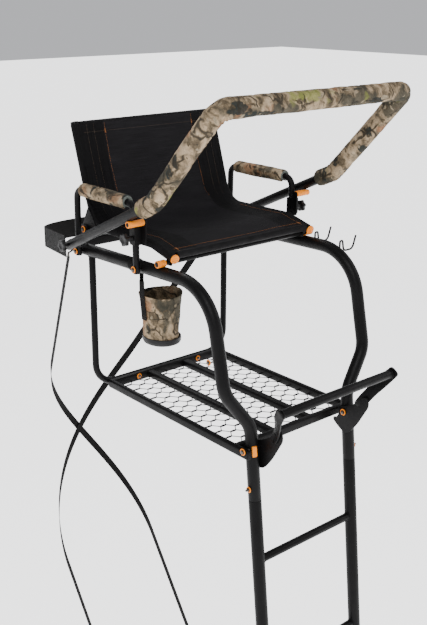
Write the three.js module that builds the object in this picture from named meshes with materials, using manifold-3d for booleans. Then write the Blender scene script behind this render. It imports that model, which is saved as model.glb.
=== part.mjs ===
// Ladder tree stand: a bowed seat frame on a sectional ladder, strapped to a trunk.
// Millimetres, +Z up, +X to the sitter's left, the sitter faces -Y and the trunk is at +Y.
// Every place below is measured from the seam of platform and ladder; the last lines move
// the origin to the middle of the tree brace, where the trunk carries the stand.
import * as THREE from 'three';
import { mergeVertices } from 'three/addons/utils/BufferGeometryUtils.js';
import Module from 'manifold-3d';

const wasm = await Module();
wasm.setup();

// ---------------------------------------------------------------- driving dimensions
const GAP = 0.3; // clearance between pieces that touch
const RAIL_R = 19; // main rails and ladder rails, outer radius
const RAIL_BORE = 17.4; // inner radius of a ladder rail
const LADDER_HALF = 200; // ladder centre to rail centre
const LEAN = THREE.MathUtils.degToRad(6.2); // the ladder's foot stands further from the trunk
const SEAM = 177; // length of the seat frame's stub below the platform
const FIRST_RUNG = 370; // along the ladder, below the platform
const RUNG_PITCH = 378;
const RUNG_R = 12;
const RUNGS_PER_SECTION = 3;
const SECTIONS = 3;
const SPIGOT = 60; // reduced end of a section inside the rail above
const SEAT_HALF = 285; // seat frame centre to main rail centre
const RAIL_REAR_Y = 770;
const TUBE_R = 11; // rear frame tube
const REAR_Y = 665;
const REAR_HALF = 276;
const DECK_Z = -27; // platform bars, mid height
const DECK_HALF = 229; // platform centre to side bar centre
const SIDE_BAR = [18, 30]; // width and height
const MID_BAR = [28, 24];
const DECK_FRONT = 34;
const DECK_REAR = 632;
const MID_BAR_X = 76;
const ARM_X = 314.5;
const ARM_R = 10;
const ARM_TOP = 632;
const ARM_REAR = 680;
const ARM_FRONT = 375;
const PAD_R = 22;
const GRIP_DEPTH = 12; // hand knobs, along their axis
const GRIP_R = 17.3;
const LOBE = 2; // rise of each lobe
const COLLAR_R = 8;
const STUD_R = 4;
const ARM_BEND = 30;
const REST_Z = 583.5; // rest pegs under the shooting rail
const REST_Y = 352;
const SHOOT_X = 352;
const SHOOT_R = 15;
const SHOOT_PIVOT = [680, 457]; // y, z
const SHOOT_BOLT = [SHOOT_PIVOT[0] - 14, SHOOT_PIVOT[1] + 7]; // its hinge
const PIVOT_HOLE_R = 4.6;
const SHOOT_BEND = [238, 664];
const SHOOT_FRONT = [-20, 935];
const SHOOT_PAD_R = 27;
const SEAT_X = 272;
const SEAT_R = 12.5;
const SEAT_PIVOT = [680, 500];
const FOOT_PIVOT = [-8, -17];
const FOOT_BAR = [-135, 136];
const BRACE_Y = 800; // where the bite plates meet the trunk
const BRACE_Z = 440;
const TREE_Y = 1020;
const TREE_R = 200;
const REAR_HOOK_Y = 266;
const FRONT_HOOK_Y = 160;
const STRAP_WIDTH = 70; // tree strap
const STRAP_SLOPE = 0.16; // its loop runs lower behind the trunk

const BLACK = { color: 0x1b1a1b, roughness: 0.5, metalness: 0.3 };
const STEEL = { color: 0x55524e, roughness: 0.35, metalness: 0.9 };
const ORANGE = { color: 0xf59a2c, roughness: 0.5, metalness: 0 };
const CAMO = { color: 0x8a7a63, roughness: 0.9, metalness: 0 };
const FABRIC = { color: 0x1d1c1e, roughness: 0.95, metalness: 0 };
const WEBBING = { color: 0x141414, roughness: 0.9, metalness: 0 };
const PLASTIC = { color: 0x161617, roughness: 0.45, metalness: 0 };

const stand = new THREE.Group();

// ---------------------------------------------------------------- helpers
const v = (x, y, z) => new THREE.Vector3(x, y, z);

function add(name, geometry, look) {
  const mesh = new THREE.Mesh(geometry, new THREE.MeshStandardMaterial(look));
  mesh.name = name;
  stand.add(mesh);
  return mesh;
}

function toSolid(geometry) {
  const bare = geometry.clone();
  bare.deleteAttribute('normal');
  bare.deleteAttribute('uv');
  const merged = mergeVertices(bare, 1e-4);
  const index = merged.index ?? null;
  const vertProperties = new Float32Array(merged.attributes.position.array);
  const triVerts = Uint32Array.from(index.array);
  return new wasm.Manifold(new wasm.Mesh({ numProp: 3, vertProperties, triVerts }));
}

function toGeometry(solid) {
  const mesh = solid.getMesh();
  const geometry = new THREE.BufferGeometry();
  geometry.setAttribute('position', new THREE.BufferAttribute(mesh.vertProperties, 3));
  geometry.setIndex(new THREE.BufferAttribute(mesh.triVerts, 1));
  return geometry;
}

function weld(...geometries) {
  const joined = geometries.map(toSolid).reduce((whole, next) => whole.add(next));
  return toGeometry(joined);
}

function cut(geometry, ...tools) {
  const left = tools.map(toSolid).reduce((whole, tool) => whole.subtract(tool), toSolid(geometry));
  return toGeometry(left);
}

// A path of straight runs and round bends whose sections sit only where the path turns.
class BentPath extends THREE.Curve {
  constructor(corners, radii, arcSteps = 6) {
    super();
    this.knots = [];
    this.tangents = [];
    const last = corners.length - 1;
    const heading = (i) => corners[i + 1].clone().sub(corners[i]).normalize();
    this.addKnot(corners[0], heading(0));
    for (let i = 1; i < last; i += 1) {
      const before = heading(i - 1);
      const after = heading(i);
      const turn = before.angleTo(after);
      const reach = radii[i - 1] * Math.tan(turn / 2);
      const start = corners[i].clone().addScaledVector(before, -reach);
      const side = after.clone().addScaledVector(before, -after.dot(before)).normalize();
      const centre = start.clone().addScaledVector(side, radii[i - 1]);
      for (let k = 0; k <= arcSteps; k += 1) {
        const angle = (turn * k) / arcSteps;
        const point = centre.clone();
        point.addScaledVector(side, -radii[i - 1] * Math.cos(angle));
        point.addScaledVector(before, radii[i - 1] * Math.sin(angle));
        const tangent = before.clone().multiplyScalar(Math.cos(angle));
        this.addKnot(point, tangent.addScaledVector(side, Math.sin(angle)).normalize());
      }
    }
    this.addKnot(corners[last], heading(last - 1));
  }

  addKnot(point, tangent) {
    this.knots.push(point.clone());
    this.tangents.push(tangent.clone());
  }

  get steps() {
    return this.knots.length - 1;
  }

  getPoint(t) {
    return this.knots[Math.round(t * this.steps)].clone();
  }

  getPointAt(t) {
    return this.getPoint(t);
  }

  getTangentAt(t) {
    return this.tangents[Math.round(t * this.steps)].clone();
  }
}

function disc(radius, sides = 12) {
  const shape = new THREE.Shape();
  for (let i = 0; i < sides; i += 1) {
    const angle = (2 * Math.PI * (i + 0.5)) / sides;
    const step = i === 0 ? 'moveTo' : 'lineTo';
    shape[step](radius * Math.cos(angle), radius * Math.sin(angle));
  }
  return shape;
}

function tube(corners, radii, radius, sides = 12, arcSteps = 6) {
  const path = new BentPath(corners, radii, arcSteps);
  return new THREE.ExtrudeGeometry(disc(radius, sides), {
    extrudePath: path,
    steps: path.steps,
    curveSegments: 1,
  });
}

function rod(from, to, radius, sides = 12) {
  return tube([from, to], [], radius, sides);
}

// A ring along a straight line, for sleeves and pads that leave room for a bar.
function sleeve(from, to, outer, inner, sides = 16) {
  return cut(rod(from, to, outer, sides), rod(extend(to, from, 2), extend(from, to, 2), inner, sides));
}

function extend(from, to, extra) {
  const heading = to.clone().sub(from).normalize();
  return to.clone().addScaledVector(heading, extra);
}

// A box given by its lowest and highest corners.
function block(low, high) {
  const size = [0, 1, 2].map((i) => high[i] - low[i]);
  const geometry = new THREE.BoxGeometry(...size);
  geometry.translate((low[0] + high[0]) / 2, (low[1] + high[1]) / 2, (low[2] + high[2]) / 2);
  return geometry;
}

// A plate in the YZ plane from an outline of [y, z] points, between two X values.
function sidePlate(outline, x0, x1) {
  const shape = new THREE.Shape(outline.map(([y, z]) => new THREE.Vector2(y, z)));
  const geometry = new THREE.ExtrudeGeometry(shape, { depth: Math.abs(x1 - x0), bevelEnabled: false });
  geometry.applyMatrix4(new THREE.Matrix4().makeBasis(v(0, 1, 0), v(0, 0, 1), v(1, 0, 0)));
  geometry.translate(Math.min(x0, x1), 0, 0);
  return geometry;
}

// A plate in the XY plane from an outline of [x, y] points, between two Z values.
function flatPlate(outline, z0, z1) {
  const shape = new THREE.Shape(outline.map(([x, y]) => new THREE.Vector2(x, y)));
  const geometry = new THREE.ExtrudeGeometry(shape, { depth: z1 - z0, bevelEnabled: false });
  geometry.translate(0, 0, z0);
  return geometry;
}

// A flat band whose wide side stays square to the normal given at each knot.
class BandPath extends THREE.Curve {
  constructor(points, normals) {
    super();
    this.points = points;
    this.normals = normals;
  }

  get steps() {
    return this.points.length - 1;
  }

  getPoint(t) {
    return this.points[Math.round(t * this.steps)].clone();
  }

  getPointAt(t) {
    return this.getPoint(t);
  }

  computeFrenetFrames() {
    const tangents = this.points.map((_, i) => {
      const ahead = this.points[Math.min(i + 1, this.steps)];
      const behind = this.points[Math.max(i - 1, 0)];
      return ahead.clone().sub(behind).normalize();
    });
    const normals = this.normals.map((n, i) => n.clone().addScaledVector(tangents[i], -n.dot(tangents[i])).normalize());
    const binormals = tangents.map((t, i) => new THREE.Vector3().crossVectors(t, normals[i]));
    return { tangents, normals, binormals };
  }
}

function band(points, normals, width, thick) {
  const path = new BandPath(points, normals);
  const shape = new THREE.Shape();
  shape.moveTo(-thick / 2, -width / 2);
  shape.lineTo(thick / 2, -width / 2);
  shape.lineTo(thick / 2, width / 2);
  shape.lineTo(-thick / 2, width / 2);
  return new THREE.ExtrudeGeometry(shape, { extrudePath: path, steps: path.steps });
}

// A bolt along X: head and washer stand outside x, the shank runs inwards.
function bolt(x, y, z, side, shank, shankR = 4, headR = 9) {
  const face = side * x;
  return weld(
    rod(v(face - side * shank, y, z), v(face + side * 3, y, z), shankR, 10),
    rod(v(face, y, z), v(face + side * 2.5, y, z), headR, 16),
    rod(v(face + side * 2, y, z), v(face + side * 7, y, z), headR * 0.66, 6),
  );
}

function boltHole(y, z, x0, x1, radius = 4.4) {
  return rod(v(x0, y, z), v(x1, y, z), radius, 10);
}

const SIDES = [['left', 1], ['right', -1]];
const onLadder = (x, along) => v(x, -Math.sin(LEAN) * along, -Math.cos(LEAN) * along);

// ---------------------------------------------------------------- main rails
// From the trunk forward under the seat, down round the knees, in to the ladder's width.
const railZ = (y) => 447 - (y - 190) * 0.026;
const KNEE_R = 150;
const KNEE_START = 206; // where the rail begins to curve down, in Y

// Height of the rail's upper side, on its straight run and on the knee's curve.
function railTop(y) {
  if (y > KNEE_START) return railZ(y) + RAIL_R;
  const centreZ = railZ(KNEE_START) - KNEE_R;
  return centreZ + Math.sqrt((KNEE_R + RAIL_R) ** 2 - (KNEE_START - y) ** 2);
}

function mainRailGeometry(s) {
  const corners = [
    v(s * SEAT_HALF, RAIL_REAR_Y, railZ(RAIL_REAR_Y)),
    v(s * SEAT_HALF, 84, railZ(84)),
    v(s * SEAT_HALF, 22, 160),
    onLadder(s * LADDER_HALF, -45),
    onLadder(s * LADDER_HALF, SEAM),
  ];
  return tube(corners, [KNEE_R, 85, 85], RAIL_R, 14, 7);
}

for (const [label, s] of SIDES) {
  const hingeEar = sidePlate([[662, 445], [698, 445], [698, 514], [662, 514]], s * 289, s * 293);
  const rail = weld(mainRailGeometry(s), hingeEar);
  const armHoles = [ARM_REAR, ARM_FRONT].map((y) => boltHole(y, railZ(y), s * 290, s * 310));
  const holes = [
    ...armHoles,
    boltHole(...SEAT_PIVOT, s * 280, s * 300),
    boltHole(...FOOT_PIVOT, s * 170, s * 230, 5.4),
    boltHole(onLadder(0, 140).y, onLadder(0, 140).z, s * 195, s * 225),
  ];
  add(`${label}_main_rail`, cut(rail, ...holes), BLACK);
}

// ---------------------------------------------------------------- ladder
function ladderSection(index) {
  const top = SEAM + GAP + index * RUNGS_PER_SECTION * RUNG_PITCH;
  const bottom = SEAM + (index + 1) * RUNGS_PER_SECTION * RUNG_PITCH;
  const isLast = index === SECTIONS - 1;
  const pieces = [];
  const bores = [];
  for (const [, s] of SIDES) {
    pieces.push(rod(onLadder(s * LADDER_HALF, top), onLadder(s * LADDER_HALF, bottom), RAIL_R, 14));
    if (index > 0) {
      const up = onLadder(s * LADDER_HALF, top - SPIGOT);
      pieces.push(rod(up, onLadder(s * LADDER_HALF, top + 10), RAIL_BORE - 1, 14));
    }
    if (!isLast) {
      const mouth = onLadder(s * LADDER_HALF, bottom + 5);
      bores.push(rod(onLadder(s * LADDER_HALF, bottom - SPIGOT - 5), mouth, RAIL_BORE, 14));
    }
  }
  for (let i = 0; i < RUNGS_PER_SECTION; i += 1) {
    const along = FIRST_RUNG + (index * RUNGS_PER_SECTION + i) * RUNG_PITCH;
    pieces.push(rod(onLadder(-LADDER_HALF, along), onLadder(LADDER_HALF, along), RUNG_R, 12));
  }
  if (isLast) {
    for (const [, s] of SIDES) {
      const end = onLadder(s * LADDER_HALF, bottom);
      pieces.push(block([end.x - 32, end.y - 45, end.z - 4], [end.x + 32, end.y + 45, end.z + 4]));
    }
  }
  const section = weld(...pieces);
  return bores.length ? cut(section, ...bores) : section;
}

['upper', 'middle', 'lower'].forEach((label, index) => {
  add(`${label}_ladder_section`, ladderSection(index), BLACK);
});

for (const [label, s] of SIDES) {
  const at = onLadder(0, 140);
  add(`${label}_ladder_bolt`, bolt(LADDER_HALF + RAIL_R + GAP, at.y, at.z, s, 14), STEEL);
}

// ---------------------------------------------------------------- rear frame and tree brace
const rearTopZ = railZ(REAR_Y) - RAIL_R - GAP - 2;
const rearFrame = tube(
  [
    v(-REAR_HALF, REAR_Y, rearTopZ),
    v(-REAR_HALF, REAR_Y, DECK_Z),
    v(REAR_HALF, REAR_Y, DECK_Z),
    v(REAR_HALF, REAR_Y, rearTopZ),
  ],
  [75, 75],
  TUBE_R,
  12,
  7,
);
const REAR_BOLT_X = 128;
const REAR_BOLT_Z = DECK_Z + 5;
const rearBoltHoles = [-1, 1].map((s) =>
  rod(v(s * REAR_BOLT_X, 640, REAR_BOLT_Z), v(s * REAR_BOLT_X, 690, REAR_BOLT_Z), 4.4, 10),
);
add('rear_frame_tube', cut(rearFrame, ...rearBoltHoles), BLACK);

// Cross tube between the rails with a toothed V plate that bites the trunk.
const braceTubeY = 742;
const teeth = [];
for (let i = 0; i <= 8; i += 1) {
  const x = -120 + 30 * i;
  const trunk = TREE_Y - Math.sqrt(TREE_R ** 2 - x ** 2);
  teeth.push([x, trunk - 14]);
  if (i < 8) {
    const xm = x + 15;
    teeth.push([xm, TREE_Y - Math.sqrt(TREE_R ** 2 - xm ** 2) - 26]);
  }
}
const vPlate = flatPlate([[120, braceTubeY], [-120, braceTubeY], ...teeth].reverse(), BRACE_Z - 15, BRACE_Z - 9);
const vPlateTop = flatPlate([[120, braceTubeY], [-120, braceTubeY], ...teeth].reverse(), BRACE_Z + 9, BRACE_Z + 15);
const braceEnd = SEAT_HALF - RAIL_R - GAP - 1;
const braceTube = block([-braceEnd, braceTubeY - 14, BRACE_Z - 15], [braceEnd, braceTubeY + 14, BRACE_Z + 15]);
add('tree_brace', weld(braceTube, vPlate, vPlateTop), BLACK);

// ---------------------------------------------------------------- platform
function deckBar(x, [w, h], y0, y1) {
  return block([x - w / 2, y0, DECK_Z - h / 2], [x + w / 2, y1, DECK_Z + h / 2]);
}

const crossHalf = DECK_HALF + SIDE_BAR[0] / 2;
const deckFrame = weld(
  deckBar(-DECK_HALF, SIDE_BAR, -24, DECK_REAR + 21.5),
  deckBar(-MID_BAR_X, MID_BAR, DECK_FRONT, DECK_REAR),
  deckBar(MID_BAR_X, MID_BAR, DECK_FRONT, DECK_REAR),
  deckBar(DECK_HALF, SIDE_BAR, -24, DECK_REAR + 21.5),
  block([-crossHalf, DECK_FRONT - 8, DECK_Z - 14], [crossHalf, DECK_FRONT + 10, DECK_Z + 14]),
  block([-crossHalf, DECK_REAR, DECK_Z - 14], [crossHalf, DECK_REAR + 21.5, DECK_Z + 14]),
);
const deckHoles = SIDES.flatMap(([, s]) => [
  rod(v(s * REAR_BOLT_X, 620, REAR_BOLT_Z), v(s * REAR_BOLT_X, 660, REAR_BOLT_Z), 4.4, 10),
  boltHole(...FOOT_PIVOT, s * 215, s * 245),
]);
add('platform_frame', cut(deckFrame, ...deckHoles), BLACK);

const meshEdges = [
  ['left', MID_BAR_X + MID_BAR[0] / 2, DECK_HALF - SIDE_BAR[0] / 2],
  ['middle', -MID_BAR_X + MID_BAR[0] / 2, MID_BAR_X - MID_BAR[0] / 2],
  ['right', -DECK_HALF + SIDE_BAR[0] / 2, -MID_BAR_X - MID_BAR[0] / 2],
];
for (const [label, x0, x1] of meshEdges) {
  const low = [x0 + GAP, DECK_FRONT + 10 + GAP, DECK_Z - 8];
  const high = [x1 - GAP, DECK_REAR - GAP, DECK_Z - 4.5];
  add(`${label}_deck_mesh`, block(low, high), BLACK);
}

for (const [label, s] of SIDES) {
  const x = s * REAR_BOLT_X;
  const y = DECK_REAR - GAP;
  const geometry = weld(
    rod(v(x, y - 2.5, REAR_BOLT_Z), v(x, 672, REAR_BOLT_Z), 4, 10),
    rod(v(x, y - 2.5, REAR_BOLT_Z), v(x, y, REAR_BOLT_Z), 7.5, 16),
    rod(v(x, y - 7, REAR_BOLT_Z), v(x, y - 2, REAR_BOLT_Z), 5, 6),
  );
  add(`${label}_platform_bolt`, geometry, STEEL);
}

// ---------------------------------------------------------------- footrest
const footPlateX = LADDER_HALF - RAIL_R - GAP - 5;
const footOutline = [
  [-50, 24], [-14, 4], [6, -2], [12, -30], [20, -44], [33, -46], [32, -58], [-2, -80],
  [-16, -84], [-34, -76], [-62, -40], [-104, 34], [-96, 62], [-72, 52],
];
for (const [label, s] of SIDES) {
  const plate = sidePlate(footOutline, s * footPlateX, s * (footPlateX + 5));
  const arm = band(
    [v(s * (footPlateX + 2.5), -72, 36), v(s * 195, -96, 76), v(s * 222, -122, 112), v(s * 232, -140, 140)],
    [v(s, 0.5, 0), v(s, 0.5, -0.2), v(s, 0.2, -0.2), v(s, 0, 0)],
    34,
    5,
  );
  const hole = boltHole(...FOOT_PIVOT, s * (footPlateX - 4), s * (footPlateX + 9));
  add(`${label}_footrest_plate`, cut(weld(plate, arm), hole), BLACK);
  const inner = footPlateX - GAP;
  const outer = crossHalf + GAP;
  const geometry = weld(
    rod(v(s * inner, ...FOOT_PIVOT), v(s * (outer + 3), ...FOOT_PIVOT), 4, 10),
    rod(v(s * (inner - 2.5), ...FOOT_PIVOT), v(s * inner, ...FOOT_PIVOT), 9, 16),
    rod(v(s * (inner - 7), ...FOOT_PIVOT), v(s * (inner - 2), ...FOOT_PIVOT), 6, 6),
    rod(v(s * outer, ...FOOT_PIVOT), v(s * (outer + 2.5), ...FOOT_PIVOT), 9, 16),
    rod(v(s * (outer + 2), ...FOOT_PIVOT), v(s * (outer + 7), ...FOOT_PIVOT), 6, 6),
  );
  add(`${label}_footrest_bolt`, geometry, STEEL);
}
add('footrest_bar', rod(v(-222, ...FOOT_BAR), v(222, ...FOOT_BAR), 13, 14), BLACK);

// ---------------------------------------------------------------- seat
const seatSide = (s) => [
  v(s * SEAT_X, 744, 822),
  v(s * SEAT_X, 646, 513),
  v(s * SEAT_X, 352, 516),
  v(s * SEAT_X, 254, 491),
];
const lugOutline = [[608, 508], [694, 486], [696, 512], [664, 572], [648, 556], [630, 528]];
// The rest bar hangs in tabs under the seat tubes; its sleeved ends lie on the main rails.
const REST_BAR_Y = 285;
const REST_BAR_R = 7.5;
const REST_SLEEVE_R = 10.5;
const REST_BAR_HALF = 312;
const restBarZ = railZ(REST_BAR_Y) + RAIL_R + REST_SLEEVE_R + GAP;
const tabOutline = [
  [REST_BAR_Y - 12, restBarZ - 10], [REST_BAR_Y + 12, restBarZ - 10],
  [REST_BAR_Y + 12, restBarZ + 25], [REST_BAR_Y - 12, restBarZ + 22],
];
for (const [label, s] of SIDES) {
  const side = tube(seatSide(s), [90, 110], SEAT_R, 12, 6);
  const lug = sidePlate(lugOutline, s * 281, s * 287);
  const tab = cut(
    sidePlate(tabOutline, s * (SEAT_X - 9), s * (SEAT_X - 5)),
    rod(v(s * (SEAT_X - 12), REST_BAR_Y, restBarZ), v(s * SEAT_X, REST_BAR_Y, restBarZ), REST_BAR_R + GAP, 12),
  );
  const hole = boltHole(...SEAT_PIVOT, s * 275, s * 300);
  add(`${label}_seat_tube`, cut(weld(side, lug, tab), hole), BLACK);
  const outward = v(0, -98, -25).normalize();
  const start = v(s * SEAT_X, 254, 491).addScaledVector(outward, GAP);
  add(`${label}_seat_cap`, rod(start, start.clone().addScaledVector(outward, 7), 13.4, 16), ORANGE);
  add(`${label}_seat_bolt`, bolt(293 + GAP, ...SEAT_PIVOT, s, 12), STEEL);
}
const seatBarHalf = SEAT_X - SEAT_R - GAP - 0.5;
add('seat_front_bar', rod(v(-seatBarHalf, 263, 498), v(seatBarHalf, 263, 498), 9, 12), BLACK);
add('seat_top_bar', rod(v(-seatBarHalf, 741, 812), v(seatBarHalf, 741, 812), 9, 12), BLACK);

// One sling runs over the seat, through the bend and up the back, inside the side tubes.
function slingGeometry() {
  const half = SEAT_X - SEAT_R - 2;
  const thick = 4;
  const centre = new BentPath(
    [v(0, 728, 796), v(0, 642, 514), v(0, 350, 514), v(0, 277, 500)],
    [70, 60],
    6,
  );
  const left = [];
  const right = [];
  centre.knots.forEach((knot, i) => {
    const across = v(0, -centre.tangents[i].z, centre.tangents[i].y).multiplyScalar(thick / 2);
    left.push([knot.y + across.y, knot.z + across.z]);
    right.push([knot.y - across.y, knot.z - across.z]);
  });
  return sidePlate([...left, ...right.reverse()], -half, half);
}
add('sling', slingGeometry(), FABRIC);

add(
  'seat_rest_bar',
  rod(v(-REST_BAR_HALF, REST_BAR_Y, restBarZ), v(REST_BAR_HALF, REST_BAR_Y, restBarZ), REST_BAR_R, 12),
  BLACK,
);
for (const [label, s] of SIDES) {
  const inner = v(s * (REST_BAR_HALF - 30), REST_BAR_Y, restBarZ);
  const outer = v(s * (REST_BAR_HALF - 1), REST_BAR_Y, restBarZ);
  add(`${label}_seat_rest_sleeve`, sleeve(inner, outer, REST_SLEEVE_R, REST_BAR_R + GAP), ORANGE);
}

// ---------------------------------------------------------------- armrests
for (const [label, s] of SIDES) {
  const x = s * ARM_X;
  const corners = [
    v(x, ARM_REAR, railZ(ARM_REAR) - 14),
    v(x, ARM_REAR - 4, ARM_TOP),
    v(x, ARM_FRONT + 6, ARM_TOP),
    v(x, ARM_FRONT, railZ(ARM_FRONT) - 14),
  ];
  const [pivotY, pivotZ] = SHOOT_BOLT;
  const lug = sidePlate(
    [[pivotY - 14, pivotZ - 13], [ARM_REAR, pivotZ - 13], [ARM_REAR, pivotZ + 13], [pivotY - 14, pivotZ + 13]],
    s * (ARM_X + 3),
    s * (ARM_X + 8),
  );
  const holes = [ARM_REAR, ARM_FRONT].map((y) => boltHole(y, railZ(y), s * 300, s * 330));
  holes.push(boltHole(...SHOOT_BOLT, s * (ARM_X - 0.5), s * (ARM_X + 11.5), PIVOT_HOLE_R));
  const hoop = tube(corners, [ARM_BEND, ARM_BEND], ARM_R, 12, 6);
  add(`${label}_armrest`, cut(weld(hoop, lug), ...holes), BLACK);
  for (const [end, y] of [['rear', ARM_REAR], ['front', ARM_FRONT]]) {
    const geometry = bolt(ARM_X + ARM_R + GAP, y, railZ(y), s, 24);
    add(`${label}_armrest_${end}_bolt`, geometry, STEEL);
  }
  const from = v(x, ARM_REAR - 4 - ARM_BEND - 2, ARM_TOP);
  const to = v(x, ARM_FRONT + 6 + ARM_BEND + 2, ARM_TOP);
  add(`${label}_arm_pad`, sleeve(from, to, PAD_R, ARM_R + 1), CAMO);
}

// ---------------------------------------------------------------- shooting rail rests
// A channel round the armrest's front leg: the peg stands in front of it, and the knob's stud
// presses on the leg's outer side.
const PEG_END = 362;
const PEG_R = 6;
const PEG_SLEEVE_R = 9.6;
const FLANGE = 4; // thickness of the channel
const CHANNEL_LOW = REST_Z - 68;
const CHANNEL_HIGH = REST_Z - 14; // below the shooting rail
const CHANNEL_REAR = ARM_FRONT + 13;
const REST_KNOB_Z = REST_Z - 48;
for (const [label, s] of SIDES) {
  const web = [REST_Y + PEG_SLEEVE_R + GAP, ARM_FRONT - ARM_R - GAP];
  const inner = ARM_X - ARM_R - GAP;
  const outer = ARM_X + ARM_R + GAP;
  const slab = (x0, x1, y0, y1, top = CHANNEL_HIGH) => block(
    [Math.min(s * x0, s * x1), y0, CHANNEL_LOW],
    [Math.max(s * x0, s * x1), y1, top],
  );
  const peg = rod(v(s * (inner - FLANGE + 1), REST_Y, REST_Z), v(s * PEG_END, REST_Y, REST_Z), PEG_R, 12);
  const channel = weld(
    slab(inner - FLANGE, inner, REST_Y - 10, CHANNEL_REAR),
    slab(inner - FLANGE, inner, REST_Y - 10, REST_Y + 10, REST_Z + 8),
    slab(inner - 1, outer + 1, ...web),
    slab(outer, outer + FLANGE, web[0], CHANNEL_REAR),
    peg,
  );
  const hole = boltHole(ARM_FRONT, REST_KNOB_Z, s * (outer - 1), s * (outer + FLANGE + 1));
  add(`${label}_rail_rest`, cut(channel, hole), BLACK);
  const sleeveStart = v(s * (inner + GAP), REST_Y, REST_Z);
  const sleeveEnd = v(s * (PEG_END - 1), REST_Y, REST_Z);
  add(`${label}_rail_rest_sleeve`, sleeve(sleeveStart, sleeveEnd, PEG_SLEEVE_R, PEG_R + 0.4, 14), ORANGE);
  add(`${label}_rest_knob`, knob(s, outer + FLANGE + GAP, ARM_FRONT, REST_KNOB_Z, FLANGE, 20), PLASTIC);
}

// A lobed hand knob on a short stud along X.
function knob(s, x, y, z, shank, collar = 8) {
  const shape = new THREE.Shape();
  const lobes = 6;
  const points = 36;
  for (let i = 0; i < points; i += 1) {
    const angle = (2 * Math.PI * i) / points;
    const radius = GRIP_R + LOBE * Math.cos(lobes * angle);
    const step = i === 0 ? 'moveTo' : 'lineTo';
    shape[step](radius * Math.cos(angle), radius * Math.sin(angle));
  }
  const grip = new THREE.ExtrudeGeometry(shape, { depth: GRIP_DEPTH, bevelEnabled: false });
  grip.applyMatrix4(new THREE.Matrix4().makeBasis(v(0, 1, 0), v(0, 0, 1), v(1, 0, 0)));
  grip.translate(s > 0 ? x + collar : -x - collar - GRIP_DEPTH, y, z);
  return weld(
    grip,
    rod(v(s * x, y, z), v(s * (x + collar + 1), y, z), COLLAR_R, 14),
    rod(v(s * (x - shank), y, z), v(s * (x + collar + 1), y, z), STUD_R, 10),
  );
}

// ---------------------------------------------------------------- shooting rail
const railCorners = [
  v(-SHOOT_X, ...SHOOT_PIVOT),
  v(-SHOOT_X, ...SHOOT_BEND),
  v(-SHOOT_X, ...SHOOT_FRONT),
  v(SHOOT_X, ...SHOOT_FRONT),
  v(SHOOT_X, ...SHOOT_BEND),
  v(SHOOT_X, ...SHOOT_PIVOT),
];
const shootHoles = SIDES.map(([, s]) => boltHole(...SHOOT_BOLT, s * (SHOOT_X - 20), s * (SHOOT_X + 20), PIVOT_HOLE_R));

const shootTube = tube(railCorners, [60, 36, 36, 60], SHOOT_R, 12, 5);
add('shooting_rail', cut(shootTube, ...shootHoles), BLACK);

for (const [label, s] of SIDES) {
  // The pivot stud runs from the knob through the rail's arm and the armrest's lug.
  add(`${label}_pivot_knob`, knob(s, SHOOT_X + SHOOT_R + GAP, ...SHOOT_BOLT, 2 * SHOOT_R + 22), PLASTIC);
}

// The pad is a foam tube over the front of the rail, one piece round both corners.
function shootingPad() {
  const along = SHOOT_PIVOT.map((start, i) => SHOOT_BEND[i] - start);
  const share = 0.87;
  const padStart = SHOOT_PIVOT.map((start, i) => start + along[i] * share);
  const inset = (s) => v(s * SHOOT_X, ...padStart);
  const outerCorners = [inset(-1), ...railCorners.slice(1, 5), inset(1)];
  const innerCorners = [v(-SHOOT_X, ...SHOOT_PIVOT), ...railCorners.slice(1, 5), v(SHOOT_X, ...SHOOT_PIVOT)];
  const outer = tube(outerCorners, [60, 36, 36, 60], SHOOT_PAD_R, 12, 4);
  const inner = tube(innerCorners, [60, 36, 36, 60], SHOOT_R + 0.6, 12, 5);
  return cut(outer, inner);
}
add('shooting_rail_pad', shootingPad(), CAMO);

// ---------------------------------------------------------------- cup holder
// A cloth sleeve with a moulded base, hung from the right main rail on its inner side.
const CUP_X = -194;
const CUP_Y = 420;
const CUP_TOP = 336;
const CUP_BOTTOM = 192;
const CUP_R = 69;
const CUP_FOOT_R = 57;
function cupProfile(outerTop, outerBottom, wall, z0, z1, floor) {
  const profile = [
    new THREE.Vector2(0, z0),
    new THREE.Vector2(outerBottom, z0),
    new THREE.Vector2(outerTop, z1),
    new THREE.Vector2(outerTop - wall, z1),
    new THREE.Vector2(outerBottom - wall, z0 + floor),
    new THREE.Vector2(0, z0 + floor),
  ];
  const geometry = new THREE.LatheGeometry(profile, 20);
  geometry.rotateX(Math.PI / 2);
  return geometry;
}
const cupBody = cupProfile(CUP_R, CUP_FOOT_R, 3, CUP_BOTTOM, CUP_TOP, 3);
cupBody.translate(CUP_X, CUP_Y, 0);
add('cup_holder', cupBody, CAMO);
const cupBase = cupProfile(CUP_FOOT_R + 2, CUP_FOOT_R - 3, 4, CUP_BOTTOM - 14, CUP_BOTTOM - GAP, 4);
cupBase.translate(CUP_X, CUP_Y, 0);
add('cup_holder_base', cupBase, PLASTIC);
const strapX = CUP_X - CUP_R - GAP;
add(
  'cup_holder_strap',
  block([strapX - 2, CUP_Y - 12, CUP_TOP - 60], [strapX, CUP_Y + 12, railZ(CUP_Y) - RAIL_R + 4]),
  WEBBING,
);

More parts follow.
